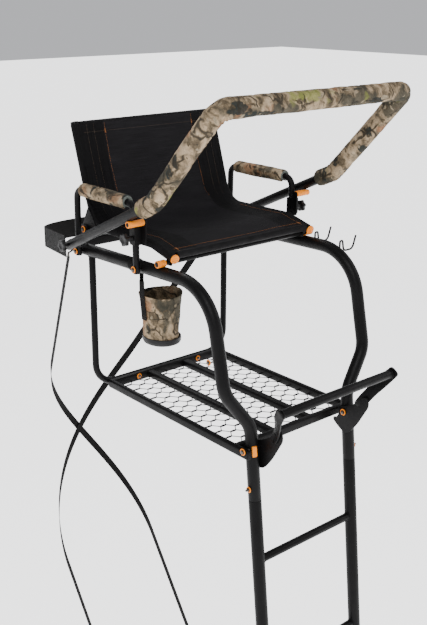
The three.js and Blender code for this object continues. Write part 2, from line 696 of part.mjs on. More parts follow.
// ---------------------------------------------------------------- accessory hooks
// Bent wire on the rail's outer side: a small loop at the rail, a bow outwards, an upturned tip.
const WIRE_R = 2.6;
function wireHook(y) {
  const face = SEAT_HALF + RAIL_R + GAP;
  const z = y > KNEE_START ? railZ(y) : railTop(y) - RAIL_R * 1.15;
  const at = (out, up) => v(face + out, y, z + up);
  const corners = [at(0, 6), at(7, 6), at(7, 28), at(19, 28), at(25, -6), at(66, -6), at(80, 36)];
  return tube(corners, [4, 5, 5, 14, 18], WIRE_R, 8, 4);
}
add('rear_accessory_hook', wireHook(REAR_HOOK_Y), BLACK);
add('front_accessory_hook', wireHook(FRONT_HOOK_Y), BLACK);

// ---------------------------------------------------------------- straps round the trunk
// Points of a taut run: off an anchor, round the back of the trunk, on to the far anchor.
function roundTrunk(from, to, radius, arcSteps) {
  const centre = new THREE.Vector2(0, TREE_Y);
  const tangentAngle = (anchor, side) => {
    const toAnchor = new THREE.Vector2(anchor.x, anchor.y).sub(centre);
    const spread = Math.acos(radius / toAnchor.length());
    return toAnchor.angle() + side * spread;
  };
  const side = Math.sign(from.x);
  const start = tangentAngle(from, side);
  let end = tangentAngle(to, -side);
  while (side * (end - start) < 0) end += side * 2 * Math.PI;
  while (side * (end - start) > 2 * Math.PI) end -= side * 2 * Math.PI;
  const ring = (angle) => v(radius * Math.cos(angle), TREE_Y + radius * Math.sin(angle), 0);
  const flat = [from.clone().setZ(0)];
  const normals = [];
  for (let i = 0; i <= arcSteps; i += 1) flat.push(ring(start + ((end - start) * i) / arcSteps));
  flat.push(to.clone().setZ(0));
  const lengths = flat.map((point, i) => (i === 0 ? 0 : point.distanceTo(flat[i - 1])));
  const total = lengths.reduce((sum, length) => sum + length, 0);
  let run = 0;
  const points = flat.map((point, i) => {
    run += lengths[i];
    return point.clone().setZ(from.z + ((to.z - from.z) * run) / total);
  });
  const outward = (i) => v(flat[i].x, flat[i].y - TREE_Y, 0).normalize();
  flat.forEach((_, i) => normals.push(outward(Math.min(Math.max(i, 1), flat.length - 2))));
  return { points, normals };
}

const strapAnchor = (s, y, z) => v(s * (SEAT_HALF + RAIL_R + 3), y, z);
const STRAP_Z = BRACE_Z - 12;
const treeRun = roundTrunk(strapAnchor(1, 769, STRAP_Z), strapAnchor(-1, 769, STRAP_Z), TREE_R + 2, 18);
for (const point of treeRun.points) point.z -= STRAP_SLOPE * (point.y - 769);
add('tree_strap', band(treeRun.points, treeRun.normals, STRAP_WIDTH, 2.4), WEBBING);

const STABILIZER_FOOT = 2820; // along the ladder
for (const [label, s] of SIDES) {
  const radius = TREE_R + (s > 0 ? 2 : 6);
  const foot = onLadder(-s * (LADDER_HALF + RAIL_R * 0.2), STABILIZER_FOOT).add(v(0, RAIL_R + 14, 0));
  const run = roundTrunk(strapAnchor(s, 752, railZ(752) - RAIL_R - 8), foot, radius, 18);
  add(`${label}_stabilizer_strap`, band(run.points, run.normals, 25, 1.8), WEBBING);
}

// Ratchet on the tree strap's left run: a frame with a spool, and its lever.
const ratchetAt = treeRun.points[0].clone().lerp(treeRun.points[1], 0.45);
const ratchetAlong = treeRun.points[1].clone().sub(treeRun.points[0]).setZ(0).normalize();
const ratchetTurn = Math.atan2(ratchetAlong.y, ratchetAlong.x);
const ratchetTilt = Math.atan(STRAP_SLOPE * ratchetAlong.y); // the strap falls away along its run
function onRatchet(geometry) {
  geometry.rotateY(ratchetTilt);
  geometry.rotateZ(ratchetTurn);
  geometry.translate(ratchetAt.x, ratchetAt.y, ratchetAt.z);
  return geometry;
}
const CHEEK = STRAP_WIDTH / 2 + 3; // strap centre to the inner face of the frame's cheeks
const SPOOL = [-8, -15];
const ratchetFrame = weld(
  block([-32, -6, -CHEEK - 3], [34, -4, CHEEK + 3]),
  block([-32, -24, CHEEK], [34, -4, CHEEK + 3]),
  block([-32, -24, -CHEEK - 3], [34, -4, -CHEEK]),
  rod(v(...SPOOL, -CHEEK - 5), v(...SPOOL, CHEEK + 5), 7, 14),
);
add('ratchet_frame', onRatchet(ratchetFrame), STEEL);
// The lever's arms lie outside the cheeks; its grip stays clear of the frame as it swings.
const leverArm = [[-20, -22], [-14, -7], [0, -5], [60, -17], [64, -27], [10, -28], [-10, -28]];
const lever = weld(
  flatPlate(leverArm, CHEEK + 3 + GAP, CHEEK + 6),
  flatPlate(leverArm, -CHEEK - 6, -CHEEK - 3 - GAP),
  block([48, -27, -CHEEK - 6], [62, -21, CHEEK + 6]),
);
const spoolHole = rod(v(...SPOOL, -CHEEK - 12), v(...SPOOL, CHEEK + 12), 7.4, 14);
add('ratchet_lever', onRatchet(cut(lever, spoolHole)), STEEL);

stand.position.set(0, -BRACE_Y, -BRACE_Z);

export default stand;
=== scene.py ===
# Ladder tree stand: camera, materials and every visible piece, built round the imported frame.
# Lengths below are millimetres from the seam of platform and ladder, as in the CAD source:
# +Z up, +X to the sitter's left, the sitter faces -Y. row() turns them into the shared frame.
import math

import bmesh
import bpy
from mathutils import Matrix, Vector, noise


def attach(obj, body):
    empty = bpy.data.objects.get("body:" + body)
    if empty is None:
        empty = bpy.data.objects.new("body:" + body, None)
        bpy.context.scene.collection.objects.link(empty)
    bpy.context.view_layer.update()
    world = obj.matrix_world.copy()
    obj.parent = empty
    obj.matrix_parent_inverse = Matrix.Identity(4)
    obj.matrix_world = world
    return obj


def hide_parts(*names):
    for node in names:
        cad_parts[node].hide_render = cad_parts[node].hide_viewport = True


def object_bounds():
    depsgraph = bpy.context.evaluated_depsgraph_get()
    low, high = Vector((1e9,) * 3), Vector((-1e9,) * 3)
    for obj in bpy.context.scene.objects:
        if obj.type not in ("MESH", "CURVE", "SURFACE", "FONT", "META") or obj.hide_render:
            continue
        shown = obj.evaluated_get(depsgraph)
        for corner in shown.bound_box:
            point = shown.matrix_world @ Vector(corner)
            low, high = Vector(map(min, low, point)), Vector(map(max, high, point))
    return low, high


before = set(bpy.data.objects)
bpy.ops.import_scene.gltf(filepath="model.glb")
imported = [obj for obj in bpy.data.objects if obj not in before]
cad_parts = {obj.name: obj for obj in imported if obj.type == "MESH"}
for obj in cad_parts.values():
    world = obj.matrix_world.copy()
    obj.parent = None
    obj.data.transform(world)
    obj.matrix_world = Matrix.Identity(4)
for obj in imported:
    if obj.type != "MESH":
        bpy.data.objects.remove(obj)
cad_low, cad_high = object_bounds()

# ---------------------------------------------------------------- dimensions
BRACE = Vector((0, 800, 440))  # the shared frame's origin
SIDES = (("left", 1), ("right", -1))
RAIL_R = 19
RAIL_REAR_Y = 770  # y of the main rails' rear ends
RAIL_BEND = 150  # radius of the main rails' upper bends
BEND_START = 206  # y where those bends begin
LADDER_HALF = 200
LEAN = math.radians(6.2)
SEAM = 177
FIRST_RUNG = 370
RUNG_PITCH = 378
RUNG_R = 12
RUNGS_PER_SECTION = 3
SECTION_NAMES = ("upper", "middle", "lower")
SEAT_HALF = 285
REAR_Y = 665
REAR_HALF = 276
REAR_R = 11
DECK_Z = -27
DECK_HALF = 229
MID_BAR_X = 76
DECK_FRONT = 34
MESH_FRONT = DECK_FRONT + 10  # the front bar's rear side
DECK_REAR = 632
BRACE_TUBE_Y = 742
ANCHOR_Y = 769  # tree strap's ends
EYE_Y = 752  # stabilizer straps' upper ends
STABILIZER_FOOT = 2820  # how far down the ladder their lower ends are
ARM_X = 314.5
ARM_R = 10
ARM_TOP = 632
ARM_REAR = 680
ARM_FRONT = 375
ARM_BEND = 30
PAD_R = 22
REST_Y = 352
REST_Z = 583.5
SHOOT_X = 352
SHOOT_R = 15
SHOOT_PAD_R = 28.5
SHOOT_PIVOT = (680, 457)
SHOOT_BOLT = (666, 464)
SHOOT_BEND = (238, 664)
SHOOT_FRONT = (-20, 935)
SHOOT_RADII = (60, 36, 36, 60)
SEAT_X = 272
SEAT_R = 12.5
SEAT_TUBE = ((744, 822), (646, 513), (352, 516), (254, 491))  # y and z of its corners
SEAT_BENDS = (90, 110)
SEAT_BARS = (("front", 263, 498), ("top", 741, 812))
PANEL_EDGE = 174  # x of the stitches beside the back's middle panel
SEAM_EDGE = 245  # x of the stitches beside the seat
SEAT_PIVOT = (680, 500)
FOOT_PIVOT = (-8, -17)
FOOT_BAR = (-135, 136)
TREE_Y = 1020
TREE_R = 200
REST_BAR_Y = 285
REST_BAR_R = 7.5
REST_SLEEVE_R = 10.5
REST_BAR_HALF = 312
CUP = (-194, 420)
STRAP_WIDTH = 70
STRAP_SLOPE = 0.16


def row(point):
    """A point of the seam frame, in mm, as a point of the shared frame, in metres."""
    return (Vector(point) - BRACE) / 1000


def rail_z(y):
    return 447 - (y - 190) * 0.026


def on_ladder(x, along):
    return Vector((x, -math.sin(LEAN) * along, -math.cos(LEAN) * along))


def new_object(name, data):
    made = bpy.data.objects.new(name, data)
    bpy.context.scene.collection.objects.link(made)
    return made


# ---------------------------------------------------------------- camera
def make_camera():
    azimuth = math.radians(-39.59)
    elevation = math.radians(18.6)
    back = Vector((
        math.sin(azimuth) * math.cos(elevation),
        -math.cos(azimuth) * math.cos(elevation),
        math.sin(elevation),
    ))
    right = Vector((math.cos(azimuth), math.sin(azimuth), 0))
    turn = Matrix((right, back.cross(right), back)).transposed()
    data = bpy.data.cameras.new("camera")
    data.sensor_fit = "VERTICAL"
    data.sensor_height = 36
    data.lens = 54.45
    data.shift_x = 0.031
    data.shift_y = -0.0062
    data.clip_end = 200
    camera = new_object("camera", data)
    place = Matrix.Translation(row((-1857, -1750, 1204)))
    camera.matrix_world = place @ turn.to_4x4()
    bpy.context.scene.camera = camera


make_camera()


# ---------------------------------------------------------------- materials
class Look:
    """A Principled material with short calls for the nodes that feed it."""

    def __init__(self, name, **settings):
        self.material = bpy.data.materials.new(name)
        self.material.use_nodes = True
        self.nodes = self.material.node_tree.nodes
        self.links = self.material.node_tree.links
        self.shader = self.nodes["Principled BSDF"]
        for socket, value in settings.items():
            self.shader.inputs[socket.replace("_", " ")].default_value = value
        self.coordinates = self.nodes.new("ShaderNodeTexCoord")

    def feed(self, socket, value):
        if isinstance(value, bpy.types.NodeSocket):
            self.links.new(value, socket)
        else:
            socket.default_value = value

    def node(self, kind, inputs, **properties):
        node = self.nodes.new("ShaderNode" + kind)
        for name, value in properties.items():
            setattr(node, name, value)
        for key, value in inputs.items():
            self.feed(node.inputs[key], value)
        return node

    def place(self, scale=(1, 1, 1), source="Object", turn=(0, 0, 0)):
        vector = self.coordinates.outputs[source]
        return self.node("Mapping", {"Vector": vector, "Scale": scale, "Rotation": turn}).outputs[0]

    def noise_node(self, vector, scale, detail=3.0, roughness=0.5, distortion=0.0):
        inputs = {"Vector": vector, "Scale": scale, "Detail": detail,
                  "Roughness": roughness, "Distortion": distortion}
        return self.node("TexNoise", inputs)

    def noise(self, *settings):
        """Noise as one number at each point."""
        return self.noise_node(*settings).outputs[0]

    def cells(self, vector, scale, feature="F1"):
        """The distance to the nearest cell's point, or to its edge."""
        inputs = {"Vector": vector, "Scale": scale}
        return self.node("TexVoronoi", inputs, feature=feature).outputs["Distance"]

    def uv(self):
        """The piece's own metres across and along."""
        split = self.node("SeparateXYZ", {0: self.coordinates.outputs["UV"]})
        return split.outputs[0], split.outputs[1]

    def wave(self, value, pitch):
        """A sine along a coordinate, one turn to each pitch."""
        return self.math("SINE", self.math("MULTIPLY", value, 2 * math.pi / pitch))

    def math(self, operation, *values):
        return self.node("Math", dict(enumerate(values)), operation=operation).outputs[0]

    def ramp(self, factor, stops, interpolation="LINEAR"):
        node = self.node("ValToRGB", {"Fac": factor})
        node.color_ramp.interpolation = interpolation
        elements = node.color_ramp.elements
        while len(elements) < len(stops):
            elements.new(0.5)
        for element, (position, colour) in zip(elements, stops):
            element.position = position
            grey = isinstance(colour, (int, float))
            element.color = (colour, colour, colour, 1) if grey else (*colour, 1)
        return node.outputs["Color"]

    def spread(self, factor, low, high):
        """From one colour to another over most of a noise's range."""
        return self.ramp(factor, [(0.3, low), (0.7, high)])

    def mix(self, factor, a, b, blend="MIX"):
        node = self.node("Mix", {"Factor": factor}, data_type="RGBA", blend_type=blend)
        self.feed(node.inputs[6], a)
        self.feed(node.inputs[7], b)
        return node.outputs[2]

    def warp(self, vector, scale, amount):
        """The vector pushed about by coloured noise."""
        colour = self.noise_node(vector, scale, 2).outputs["Color"]
        centred = self.node("VectorMath", {0: colour, 1: (0.5, 0.5, 0.5)}, operation="SUBTRACT")
        inputs = {0: centred.outputs[0], 1: (amount,) * 3, 2: vector}
        return self.node("VectorMath", inputs, operation="MULTIPLY_ADD").outputs[0]

    def colour(self, value):
        self.feed(self.shader.inputs["Base Color"], value)

    def roughness(self, factor, low, high):
        self.feed(self.shader.inputs["Roughness"], self.spread(factor, low, high))

    def bump(self, *layers):
        """Each layer is (height, distance in metres)."""
        normal = None
        for height, distance in layers:
            inputs = {"Height": height, "Distance": distance, "Strength": 1.0}
            if normal:
                inputs["Normal"] = normal
            normal = self.node("Bump", inputs).outputs[0]
        self.feed(self.shader.inputs["Normal"], normal)


def powder_coat():
    """Satin black paint over steel: fine orange peel, faint dust and a few scuffs."""
    look = Look("powder_coat", Specular_IOR_Level=0.1)
    place = look.place()
    cloud = look.noise(place, 11, 4)
    scuff = look.noise(look.place((1, 1, 0.35)), 70, 6, 0.65)
    scuffed = look.ramp(scuff, [(0.66, 0), (0.72, 1)])
    coat = look.spread(cloud, (0.0032, 0.003, 0.0032), (0.0055, 0.0052, 0.0054))
    look.colour(look.mix(look.math("MULTIPLY", scuffed, 0.5), coat, (0.014, 0.0135, 0.013, 1)))
    look.roughness(look.noise(place, 24, 4), 0.36, 0.5)
    look.bump((look.noise(place, 620, 2), 0.00035), (scuff, 0.0004))
    return look.material


def steel():
    """Zinc-plated fasteners, darkened by handling."""
    look = Look("zinc_steel", Metallic=1.0)
    place = look.place()
    stain = look.noise(place, 150, 4)
    look.colour(look.spread(stain, (0.05, 0.047, 0.043), (0.16, 0.15, 0.135)))
    look.roughness(look.noise(place, 320, 4), 0.3, 0.5)
    look.bump((look.noise(look.place((1, 1, 6)), 420, 3), 0.00012))
    return look.material


def orange_vinyl():
    """Dip-moulded vinyl: saturated, soft gloss, slight mottling and grime."""
    look = Look("orange_vinyl", Specular_IOR_Level=0.3, Subsurface_Weight=0.05, Subsurface_Scale=0.004)
    place = look.place()
    mottle = look.noise(place, 75, 4)
    clean = look.spread(mottle, (0.93, 0.235, 0.002), (1.0, 0.30, 0.004))
    grime = look.ramp(look.noise(place, 190, 5, 0.6), [(0.58, 0), (0.74, 0.5)])
    look.colour(look.mix(grime, clean, (0.45, 0.13, 0.012, 1)))
    look.roughness(look.noise(place, 130, 3), 0.38, 0.55)
    look.bump((look.noise(place, 480, 3), 0.00025))
    return look.material


def camouflage():
    """A generic woodland print: streaked bark, dark mottled patches, leaf shapes and twig lines."""
    look = Look("camo_fabric", Specular_IOR_Level=0.12)
    place = look.place()
    streaks = look.warp(look.place(turn=(0.5, 0.4, 0.3)), 22, 0.03)
    stretched = look.node("Mapping", {"Vector": streaks, "Scale": (2.2, 0.7, 1.0)}).outputs[0]
    ground = look.ramp(look.noise(stretched, 22, 6, 0.62), [
        (0.30, (0.045, 0.034, 0.022)),
        (0.43, (0.14, 0.105, 0.065)),
        (0.54, (0.36, 0.265, 0.165)),
        (0.72, (0.50, 0.39, 0.26)),
    ])
    rust = look.ramp(look.noise(look.warp(place, 16, 0.035), 12, 3), [(0.58, 0), (0.66, 0.6)])
    print_colour = look.mix(rust, ground, (0.30, 0.135, 0.062, 1))
    shadow = look.noise(look.warp(look.place(turn=(0.2, 1.1, 0.6)), 19, 0.05), 7, 5, 0.6)
    shadow = look.ramp(shadow, [(0.54, 0), (0.60, 0.85)])
    print_colour = look.mix(shadow, print_colour, (0.040, 0.040, 0.030, 1))
    moss_place = look.warp(look.place(turn=(0.7, 0.2, 0.4)), 26, 0.04)
    moss = look.ramp(look.noise(moss_place, 9, 3), [(0.65, 0), (0.71, 0.7)])
    print_colour = look.mix(moss, print_colour, (0.23, 0.25, 0.055, 1))
    for turn, scale, low, high, colour in (
        ((0.5, 0.3, 0.9), 8, 0.25, 0.30, (0.016, 0.024, 0.024, 1)),
        ((1.1, -0.6, 0.2), 18, 0.19, 0.24, (0.10, 0.075, 0.045, 1)),
        ((-0.4, 0.8, 1.7), 16, 0.16, 0.21, (0.36, 0.29, 0.195, 1)),
    ):
        leaf = look.warp(look.place((1, 2.9, 1.7), turn=turn), 30, 0.045)
        shape = look.cells(leaf, scale)
        inside = look.ramp(shape, [(low, 0.92), (high, 0)])
        veined = look.mix(look.ramp(look.noise(leaf, 120, 4), [(0.4, 0.45), (0.6, 0)]),
                          colour, (0.02, 0.018, 0.012, 1))
        print_colour = look.mix(inside, print_colour, veined)
    twigs = look.warp(look.place((1.0, 0.55, 0.8), turn=(0.3, 0.9, 0.2)), 20, 0.06)
    line = look.cells(twigs, 17, "DISTANCE_TO_EDGE")
    drawn = look.math("MULTIPLY", look.ramp(line, [(0.02, 1), (0.055, 0)]),
                      look.ramp(look.noise(place, 20, 2), [(0.44, 0), (0.52, 0.9)]))
    print_colour = look.mix(drawn, print_colour, (0.028, 0.024, 0.017, 1))
    fine = look.noise(place, 330, 3)
    shade = look.spread(fine, 0.68, 1.0)
    look.colour(look.mix(1.0, print_colour, shade, "MULTIPLY"))
    look.roughness(fine, 0.72, 0.9)
    weave = look.noise(place, 950, 2)
    crease = look.noise(look.place(turn=(0.4, 0.4, 0)), 60, 3, 0.5, 0.6)
    look.bump((weave, 0.0004), (crease, 0.0022))
    return look.material


def foam():
    """Closed-cell foam: grey-green, fine pores, matt."""
    look = Look("foam", Specular_IOR_Level=0.2)
    place = look.place()
    pores = look.cells(place, 900)
    look.colour(look.spread(look.noise(place, 140, 4), (0.085, 0.098, 0.088), (0.15, 0.165, 0.15)))
    look.roughness(pores, 0.85, 0.97)
    look.bump((pores, 0.0008), (look.noise(place, 120, 3), 0.001))
    return look.material


def sling_cloth():
    """Coated mesh weave: slubbed middle panel, plainer and darker side bands."""
    look = Look("sling_cloth", Specular_IOR_Level=0.08)
    across, along = look.uv()
    band = look.math("GREATER_THAN", look.math("ABSOLUTE", across), PANEL_EDGE / 1000 + 0.002)
    slub = look.noise(look.place((9, 520, 1), "UV"), 1, 4, 0.6)
    drift = look.noise(look.place((6, 14, 1), "UV"), 1, 3)
    thread = look.ramp(slub, [(0.33, (0.0045, 0.0042, 0.0045)), (0.68, (0.021, 0.0195, 0.022))])
    panel = look.mix(look.ramp(drift, [(0.35, 0), (0.65, 0.5)]), thread, (0.008, 0.0075, 0.0082, 1))
    plain = look.ramp(look.noise(look.place((420, 9, 1), "UV"), 1, 3), [
        (0.35, (0.003, 0.0028, 0.003)), (0.7, (0.0075, 0.007, 0.0076)),
    ])
    look.colour(look.mix(band, panel, plain))
    look.roughness(slub, 0.62, 0.82)
    thread_pitch = 0.0021
    warp = look.wave(across, thread_pitch)
    weft = look.wave(along, thread_pitch)
    look.bump((look.math("MULTIPLY", warp, weft), 0.0003), (slub, 0.0004))
    return look.material


def hem_cloth():
    """Folded edge of the sling: tight plain weave, slightly shiny."""
    look = Look("hem_cloth", Specular_IOR_Level=0.1)
    place = look.place()
    rib = look.noise(look.place((30, 1, 1)), 260, 3)
    cloud = look.noise(place, 45, 4)
    look.colour(look.spread(cloud, (0.0038, 0.0035, 0.0038), (0.0085, 0.008, 0.0085)))
    look.roughness(rib, 0.55, 0.75)
    look.bump((rib, 0.0004), (look.noise(place, 38, 3), 0.0016))
    return look.material


def thread(name, low, high):
    """Twisted sewing thread between two colours."""
    look = Look(name, Specular_IOR_Level=0.35, Sheen_Weight=0.1)
    twist = look.noise(look.place(), 700, 3)
    look.colour(look.spread(twist, low, high))
    look.roughness(twist, 0.5, 0.75)
    look.bump((twist, 0.0003))
    return look.material


def webbing():
    """Black polyester webbing: ribs along the strap and a cross weave."""
    look = Look("black_webbing", Specular_IOR_Level=0.1)
    across, along = look.uv()
    rib = look.wave(across, 0.0035)
    pick = look.wave(along, 0.0028)
    woven = look.math("MULTIPLY", rib, pick)
    dust = look.noise(look.place(), 55, 5, 0.6)
    look.colour(look.ramp(dust, [(0.3, (0.0038, 0.0035, 0.0036)), (0.75, (0.0095, 0.009, 0.0088))]))
    look.roughness(dust, 0.62, 0.85)
    look.bump((rib, 0.0004), (woven, 0.00035))
    return look.material


def plastic():
    """Moulded nylon: fine spark-eroded grain and a few rubbed spots."""
    look = Look("black_plastic", Specular_IOR_Level=0.25)
    place = look.place()
    grain = look.noise(place, 800, 2)
    rubbed = look.noise(place, 60, 4)
    look.colour(look.ramp(rubbed, [(0.3, (0.0045, 0.0045, 0.0048)), (0.75, (0.0105, 0.01, 0.0105))]))
    look.roughness(rubbed, 0.34, 0.52)
    look.bump((grain, 0.00025))
    return look.material


def studio_floor():
    """Pale paper that gives off some light, so the background is light all over."""
    look = Look("studio_floor", Specular_IOR_Level=0.1, Emission_Color=(1, 1, 1, 1),
                Emission_Strength=1.9)
    grain = look.noise(look.place(), 2.5, 4)
    look.colour(look.spread(grain, 0.94, 0.955))
    look.roughness(grain, 0.9, 0.95)
    return look.material


POWDER = powder_coat()
STEEL = steel()
ORANGE = orange_vinyl()
CAMO = camouflage()
FOAM = foam()
SLING = sling_cloth()
HEM = hem_cloth()
THREAD = thread("orange_thread", (0.22, 0.075, 0.016), (0.44, 0.15, 0.03))
DULL_THREAD = thread("brown_thread", (0.035, 0.022, 0.014), (0.08, 0.045, 0.022))
WEBBING = webbing()
PLASTIC = plastic()


# ---------------------------------------------------------------- mesh helpers
class Shell:
    """Vertices in mm in the seam frame, faces, and each face's UVs (metres) and look."""

    def __init__(self):
        self.verts = []
        self.faces = []
        self.uvs = []
        self.looks = []

    def add(self, points):
        start = len(self.verts)
        self.verts += [Vector(p) for p in points]
        return list(range(start, len(self.verts)))

    def face(self, corners, uvs=None, look=0):
        self.faces.append(tuple(corners))
        self.uvs.append(uvs or [(0, 0)] * len(corners))
        self.looks.append(look)


def piece(name, shell, body, looks, replaces=(), sharp=38):
    """Makes the shell into an object that rides a body and stands for its CAD nodes."""
    mesh = bpy.data.meshes.new(name)
    mesh.from_pydata([row(v) for v in shell.verts], [], shell.faces)
    layer = mesh.uv_layers.new(name="UVMap")
    for polygon, uvs, look in zip(mesh.polygons, shell.uvs, shell.looks):
        polygon.material_index = look
        for loop, uv in zip(polygon.loop_indices, uvs):
            layer.data[loop].uv = uv
    for look in looks:
        mesh.materials.append(look)
    work = bmesh.new()
    work.from_mesh(mesh)
    bmesh.ops.recalc_face_normals(work, faces=work.faces)
    work.to_mesh(mesh)
    work.free()
    mesh.shade_smooth()
    mesh.set_sharp_from_angle(angle=math.radians(sharp))
    made = new_object(name, mesh)
    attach(made, body)
    if replaces:
        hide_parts(*replaces)
    return made


def bent(corners, radii=(), arc_steps=14):
    """Points and headings along straight runs joined by round bends."""
    corners = [Vector(c) for c in corners]
    headings = [(b - a).normalized() for a, b in zip(corners, corners[1:])]
    path = [(corners[0], headings[0])]
    for corner, radius, before, after in zip(corners[1:], radii, headings, headings[1:]):
        turn = before.angle(after)
        start = corner - before * radius * math.tan(turn / 2)
        side = (after - before * after.dot(before)).normalized()
        centre = start + side * radius
        for k in range(arc_steps + 1):
            angle = turn * k / arc_steps
            point = centre - side * radius * math.cos(angle) + before * radius * math.sin(angle)
            path.append((point, before * math.cos(angle) + side * math.sin(angle)))
    path.append((corners[-1], headings[-1]))
    return path


def dense(path, step):
    """The same path with extra stations wherever two lie more than a step apart."""
    result = [path[0]]
    for (a, heading_a), (b, heading_b) in zip(path, path[1:]):
        count = max(1, math.ceil((b - a).length / step))
        for k in range(1, count + 1):
            share = k / count
            result.append((a.lerp(b, share), heading_a.lerp(heading_b, share).normalized()))
    return result


def framed(path, up):
    """Adds an up and a side direction to each station, carried along without twist."""
    up = Vector(up)
    result = []
    for point, heading in path:
        up = (up - heading * up.dot(heading)).normalized()
        result.append((point, heading, up, heading.cross(up)))
    return result


def turns(count):
    """Equal angles once round."""
    return [2 * math.pi * k / count for k in range(count)]


def square_to(axis):
    """Two unit directions square to a unit axis and to each other."""
    side = axis.orthogonal().normalized()
    return side, axis.cross(side)


def circle(radius, sides=28):
    return [(radius * math.cos(angle), radius * math.sin(angle)) for angle in turns(sides)]


def rounded_box(width, height, radius, steps=4):
    """A closed outline about the origin, its corners quarter circles."""
    points = []
    for quarter in range(4):
        cx = (width / 2 - radius) * (1 if quarter in (0, 3) else -1)
        cy = (height / 2 - radius) * (1 if quarter in (0, 1) else -1)
        for k in range(steps + 1):
            angle = math.pi / 2 * (quarter + k / steps)
            points.append((cx + radius * math.cos(angle), cy + radius * math.sin(angle)))
    return points


def grid(shell, rows, closed=False, look=0, wrap=False, origin=(0, 0)):
    """Quads between rows of points. closed joins each row's ends; wrap joins last row to first."""
    ids = [shell.add(points) for points in rows]
    count = len(rows[0])
    middle = rows[len(rows) // 2]
    across = [origin[0]]
    for j in range(1, count + 1):
        across.append(across[-1] + (middle[j % count] - middle[j - 1]).length / 1000)
    along = [origin[1]]
    for i in range(1, len(rows) + 1):
        here, before = rows[i % len(rows)], rows[i - 1]
        along.append(along[-1] + (here[count // 2] - before[count // 2]).length / 1000)
    for i in range(len(rows) if wrap else len(rows) - 1):
        below, above = ids[i], ids[(i + 1) % len(rows)]
        for j in range(count if closed else count - 1):
            k = (j + 1) % count
            uvs = [(across[j], along[i]), (across[j + 1], along[i]),
                   (across[j + 1], along[i + 1]), (across[j], along[i + 1])]
            shell.face((below[j], below[k], above[k], above[j]), uvs, look)
    return ids


def fan(shell, ring, look=0, push=Vector()):
    """Closes a ring with triangles to its middle."""
    middle = sum((shell.verts[i] for i in ring), Vector()) / len(ring) + push
    (centre,) = shell.add([middle])
    for j, corner in enumerate(ring):
        shell.face((corner, ring[(j + 1) % len(ring)], centre), look=look)


def capped(shell, rows, look=0):
    """A closed body through rings of points, with triangles over each end."""
    ids = grid(shell, rows, closed=True, look=look)
    fan(shell, ids[0], look)
    fan(shell, ids[-1], look)


def bar(shell, path, section, up=(0, 0, 1), bevel=1.2, look=0):
    """A solid bar along a path; its ends are rounded over by the bevel."""
    reach = max(math.hypot(a, b) for a, b in section)
    (first, start), (last, end) = path[0], path[-1]
    steps = 3
    quarter = [math.pi / 2 * k / steps for k in range(steps + 1)]
    rounding = [(1 - math.cos(angle), bevel * (1 - math.sin(angle))) for angle in quarter]
    stations = [(first + start * bevel * share, start, inset) for share, inset in rounding]
    stations += [(point, heading, 0) for point, heading in path[1:-1]]
    stations += [(last - end * bevel * share, end, inset) for share, inset in rounding[::-1]]
    rows = []
    frames = framed([(point, heading) for point, heading, _ in stations], up)
    for (point, _, above, side), (_, _, inset) in zip(frames, stations):
        scale = (reach - inset) / reach
        rows.append([point + side * a * scale + above * b * scale for a, b in section])
    capped(shell, rows, look)


def cross_bar(shell, half, y, z, section, **options):
    """A straight bar along X, the same to both sides."""
    bar(shell, bent([(-half, y, z), (half, y, z)]), section, **options)


def lathe(shell, centre, axis, profile, sides=28, look=0, lobes=0, depth=0.0):
    """Turns (radius, height) points about an axis; a radius of 0 closes the end. Lobes ripple it."""
    axis = Vector(axis).normalized()
    side, up = square_to(axis)
    centre = Vector(centre)
    rows = []
    for radius, height in profile:
        points = []
        for angle in turns(sides):
            reach = radius * (1 + depth * math.cos(lobes * angle)) if radius else 0
            spoke = side * math.cos(angle) + up * math.sin(angle)
            points.append(centre + axis * height + spoke * reach)
        rows.append(points)
    open_rows = [points for points, (radius, _) in zip(rows, profile) if radius > 0]
    ids = grid(shell, open_rows, closed=True, look=look, wrap=profile[0][0] > 0 and profile[-1][0] > 0)
    for end in (0, -1):
        radius, height = profile[end]
        if radius == 0:
            middle = sum(open_rows[end], Vector()) / sides
            fan(shell, ids[end], look, push=centre + axis * height - middle)


def soften(outline, radius, steps=4):
    """Rounds the corners of a closed outline of 2D points."""
    result = []
    count = len(outline)
    for i, corner in enumerate(outline):
        before, here, after = Vector(outline[i - 1]), Vector(corner), Vector(outline[(i + 1) % count])
        a = here + (before - here).normalized() * min(radius, 0.45 * (before - here).length)
        b = here + (after - here).normalized() * min(radius, 0.45 * (after - here).length)
        for k in range(steps + 1):
            t = k / steps
            result.append(tuple(a * (1 - t) ** 2 + here * 2 * t * (1 - t) + b * t * t))
    return result


def eased_box(x0, y0, x1, y1, radius):
    return soften([(x0, y0), (x1, y0), (x1, y1), (x0, y1)], radius)


def plate(shell, outline, low, high, axes="YZ", bevel=0.8):
    """A flat plate with eased edges from a closed 2D outline, between two values of the third axis."""
    count = len(outline)
    points = [Vector(p) for p in outline]
    area = sum(points[i - 1].x * points[i].y - points[i].x * points[i - 1].y for i in range(count))
    turn = 1 if area > 0 else -1
    inner = []
    for i, here in enumerate(points):
        along = (points[(i + 1) % count] - points[i - 1]).normalized()
        inner.append(here + Vector((-along.y, along.x)) * bevel * turn)

    def lift(flat, height):
        if axes == "YZ":
            return Vector((height, flat.x, flat.y))
        return Vector((flat.x, flat.y, height))

    low, high = min(low, high), max(low, high)
    levels = [(inner, low), (points, low + bevel), (points, high - bevel), (inner, high)]
    rows = [[lift(p, height) for p in ring] for ring, height in levels]
    ids = grid(shell, rows, closed=True)
    shell.face(ids[0])
    shell.face(ids[-1])


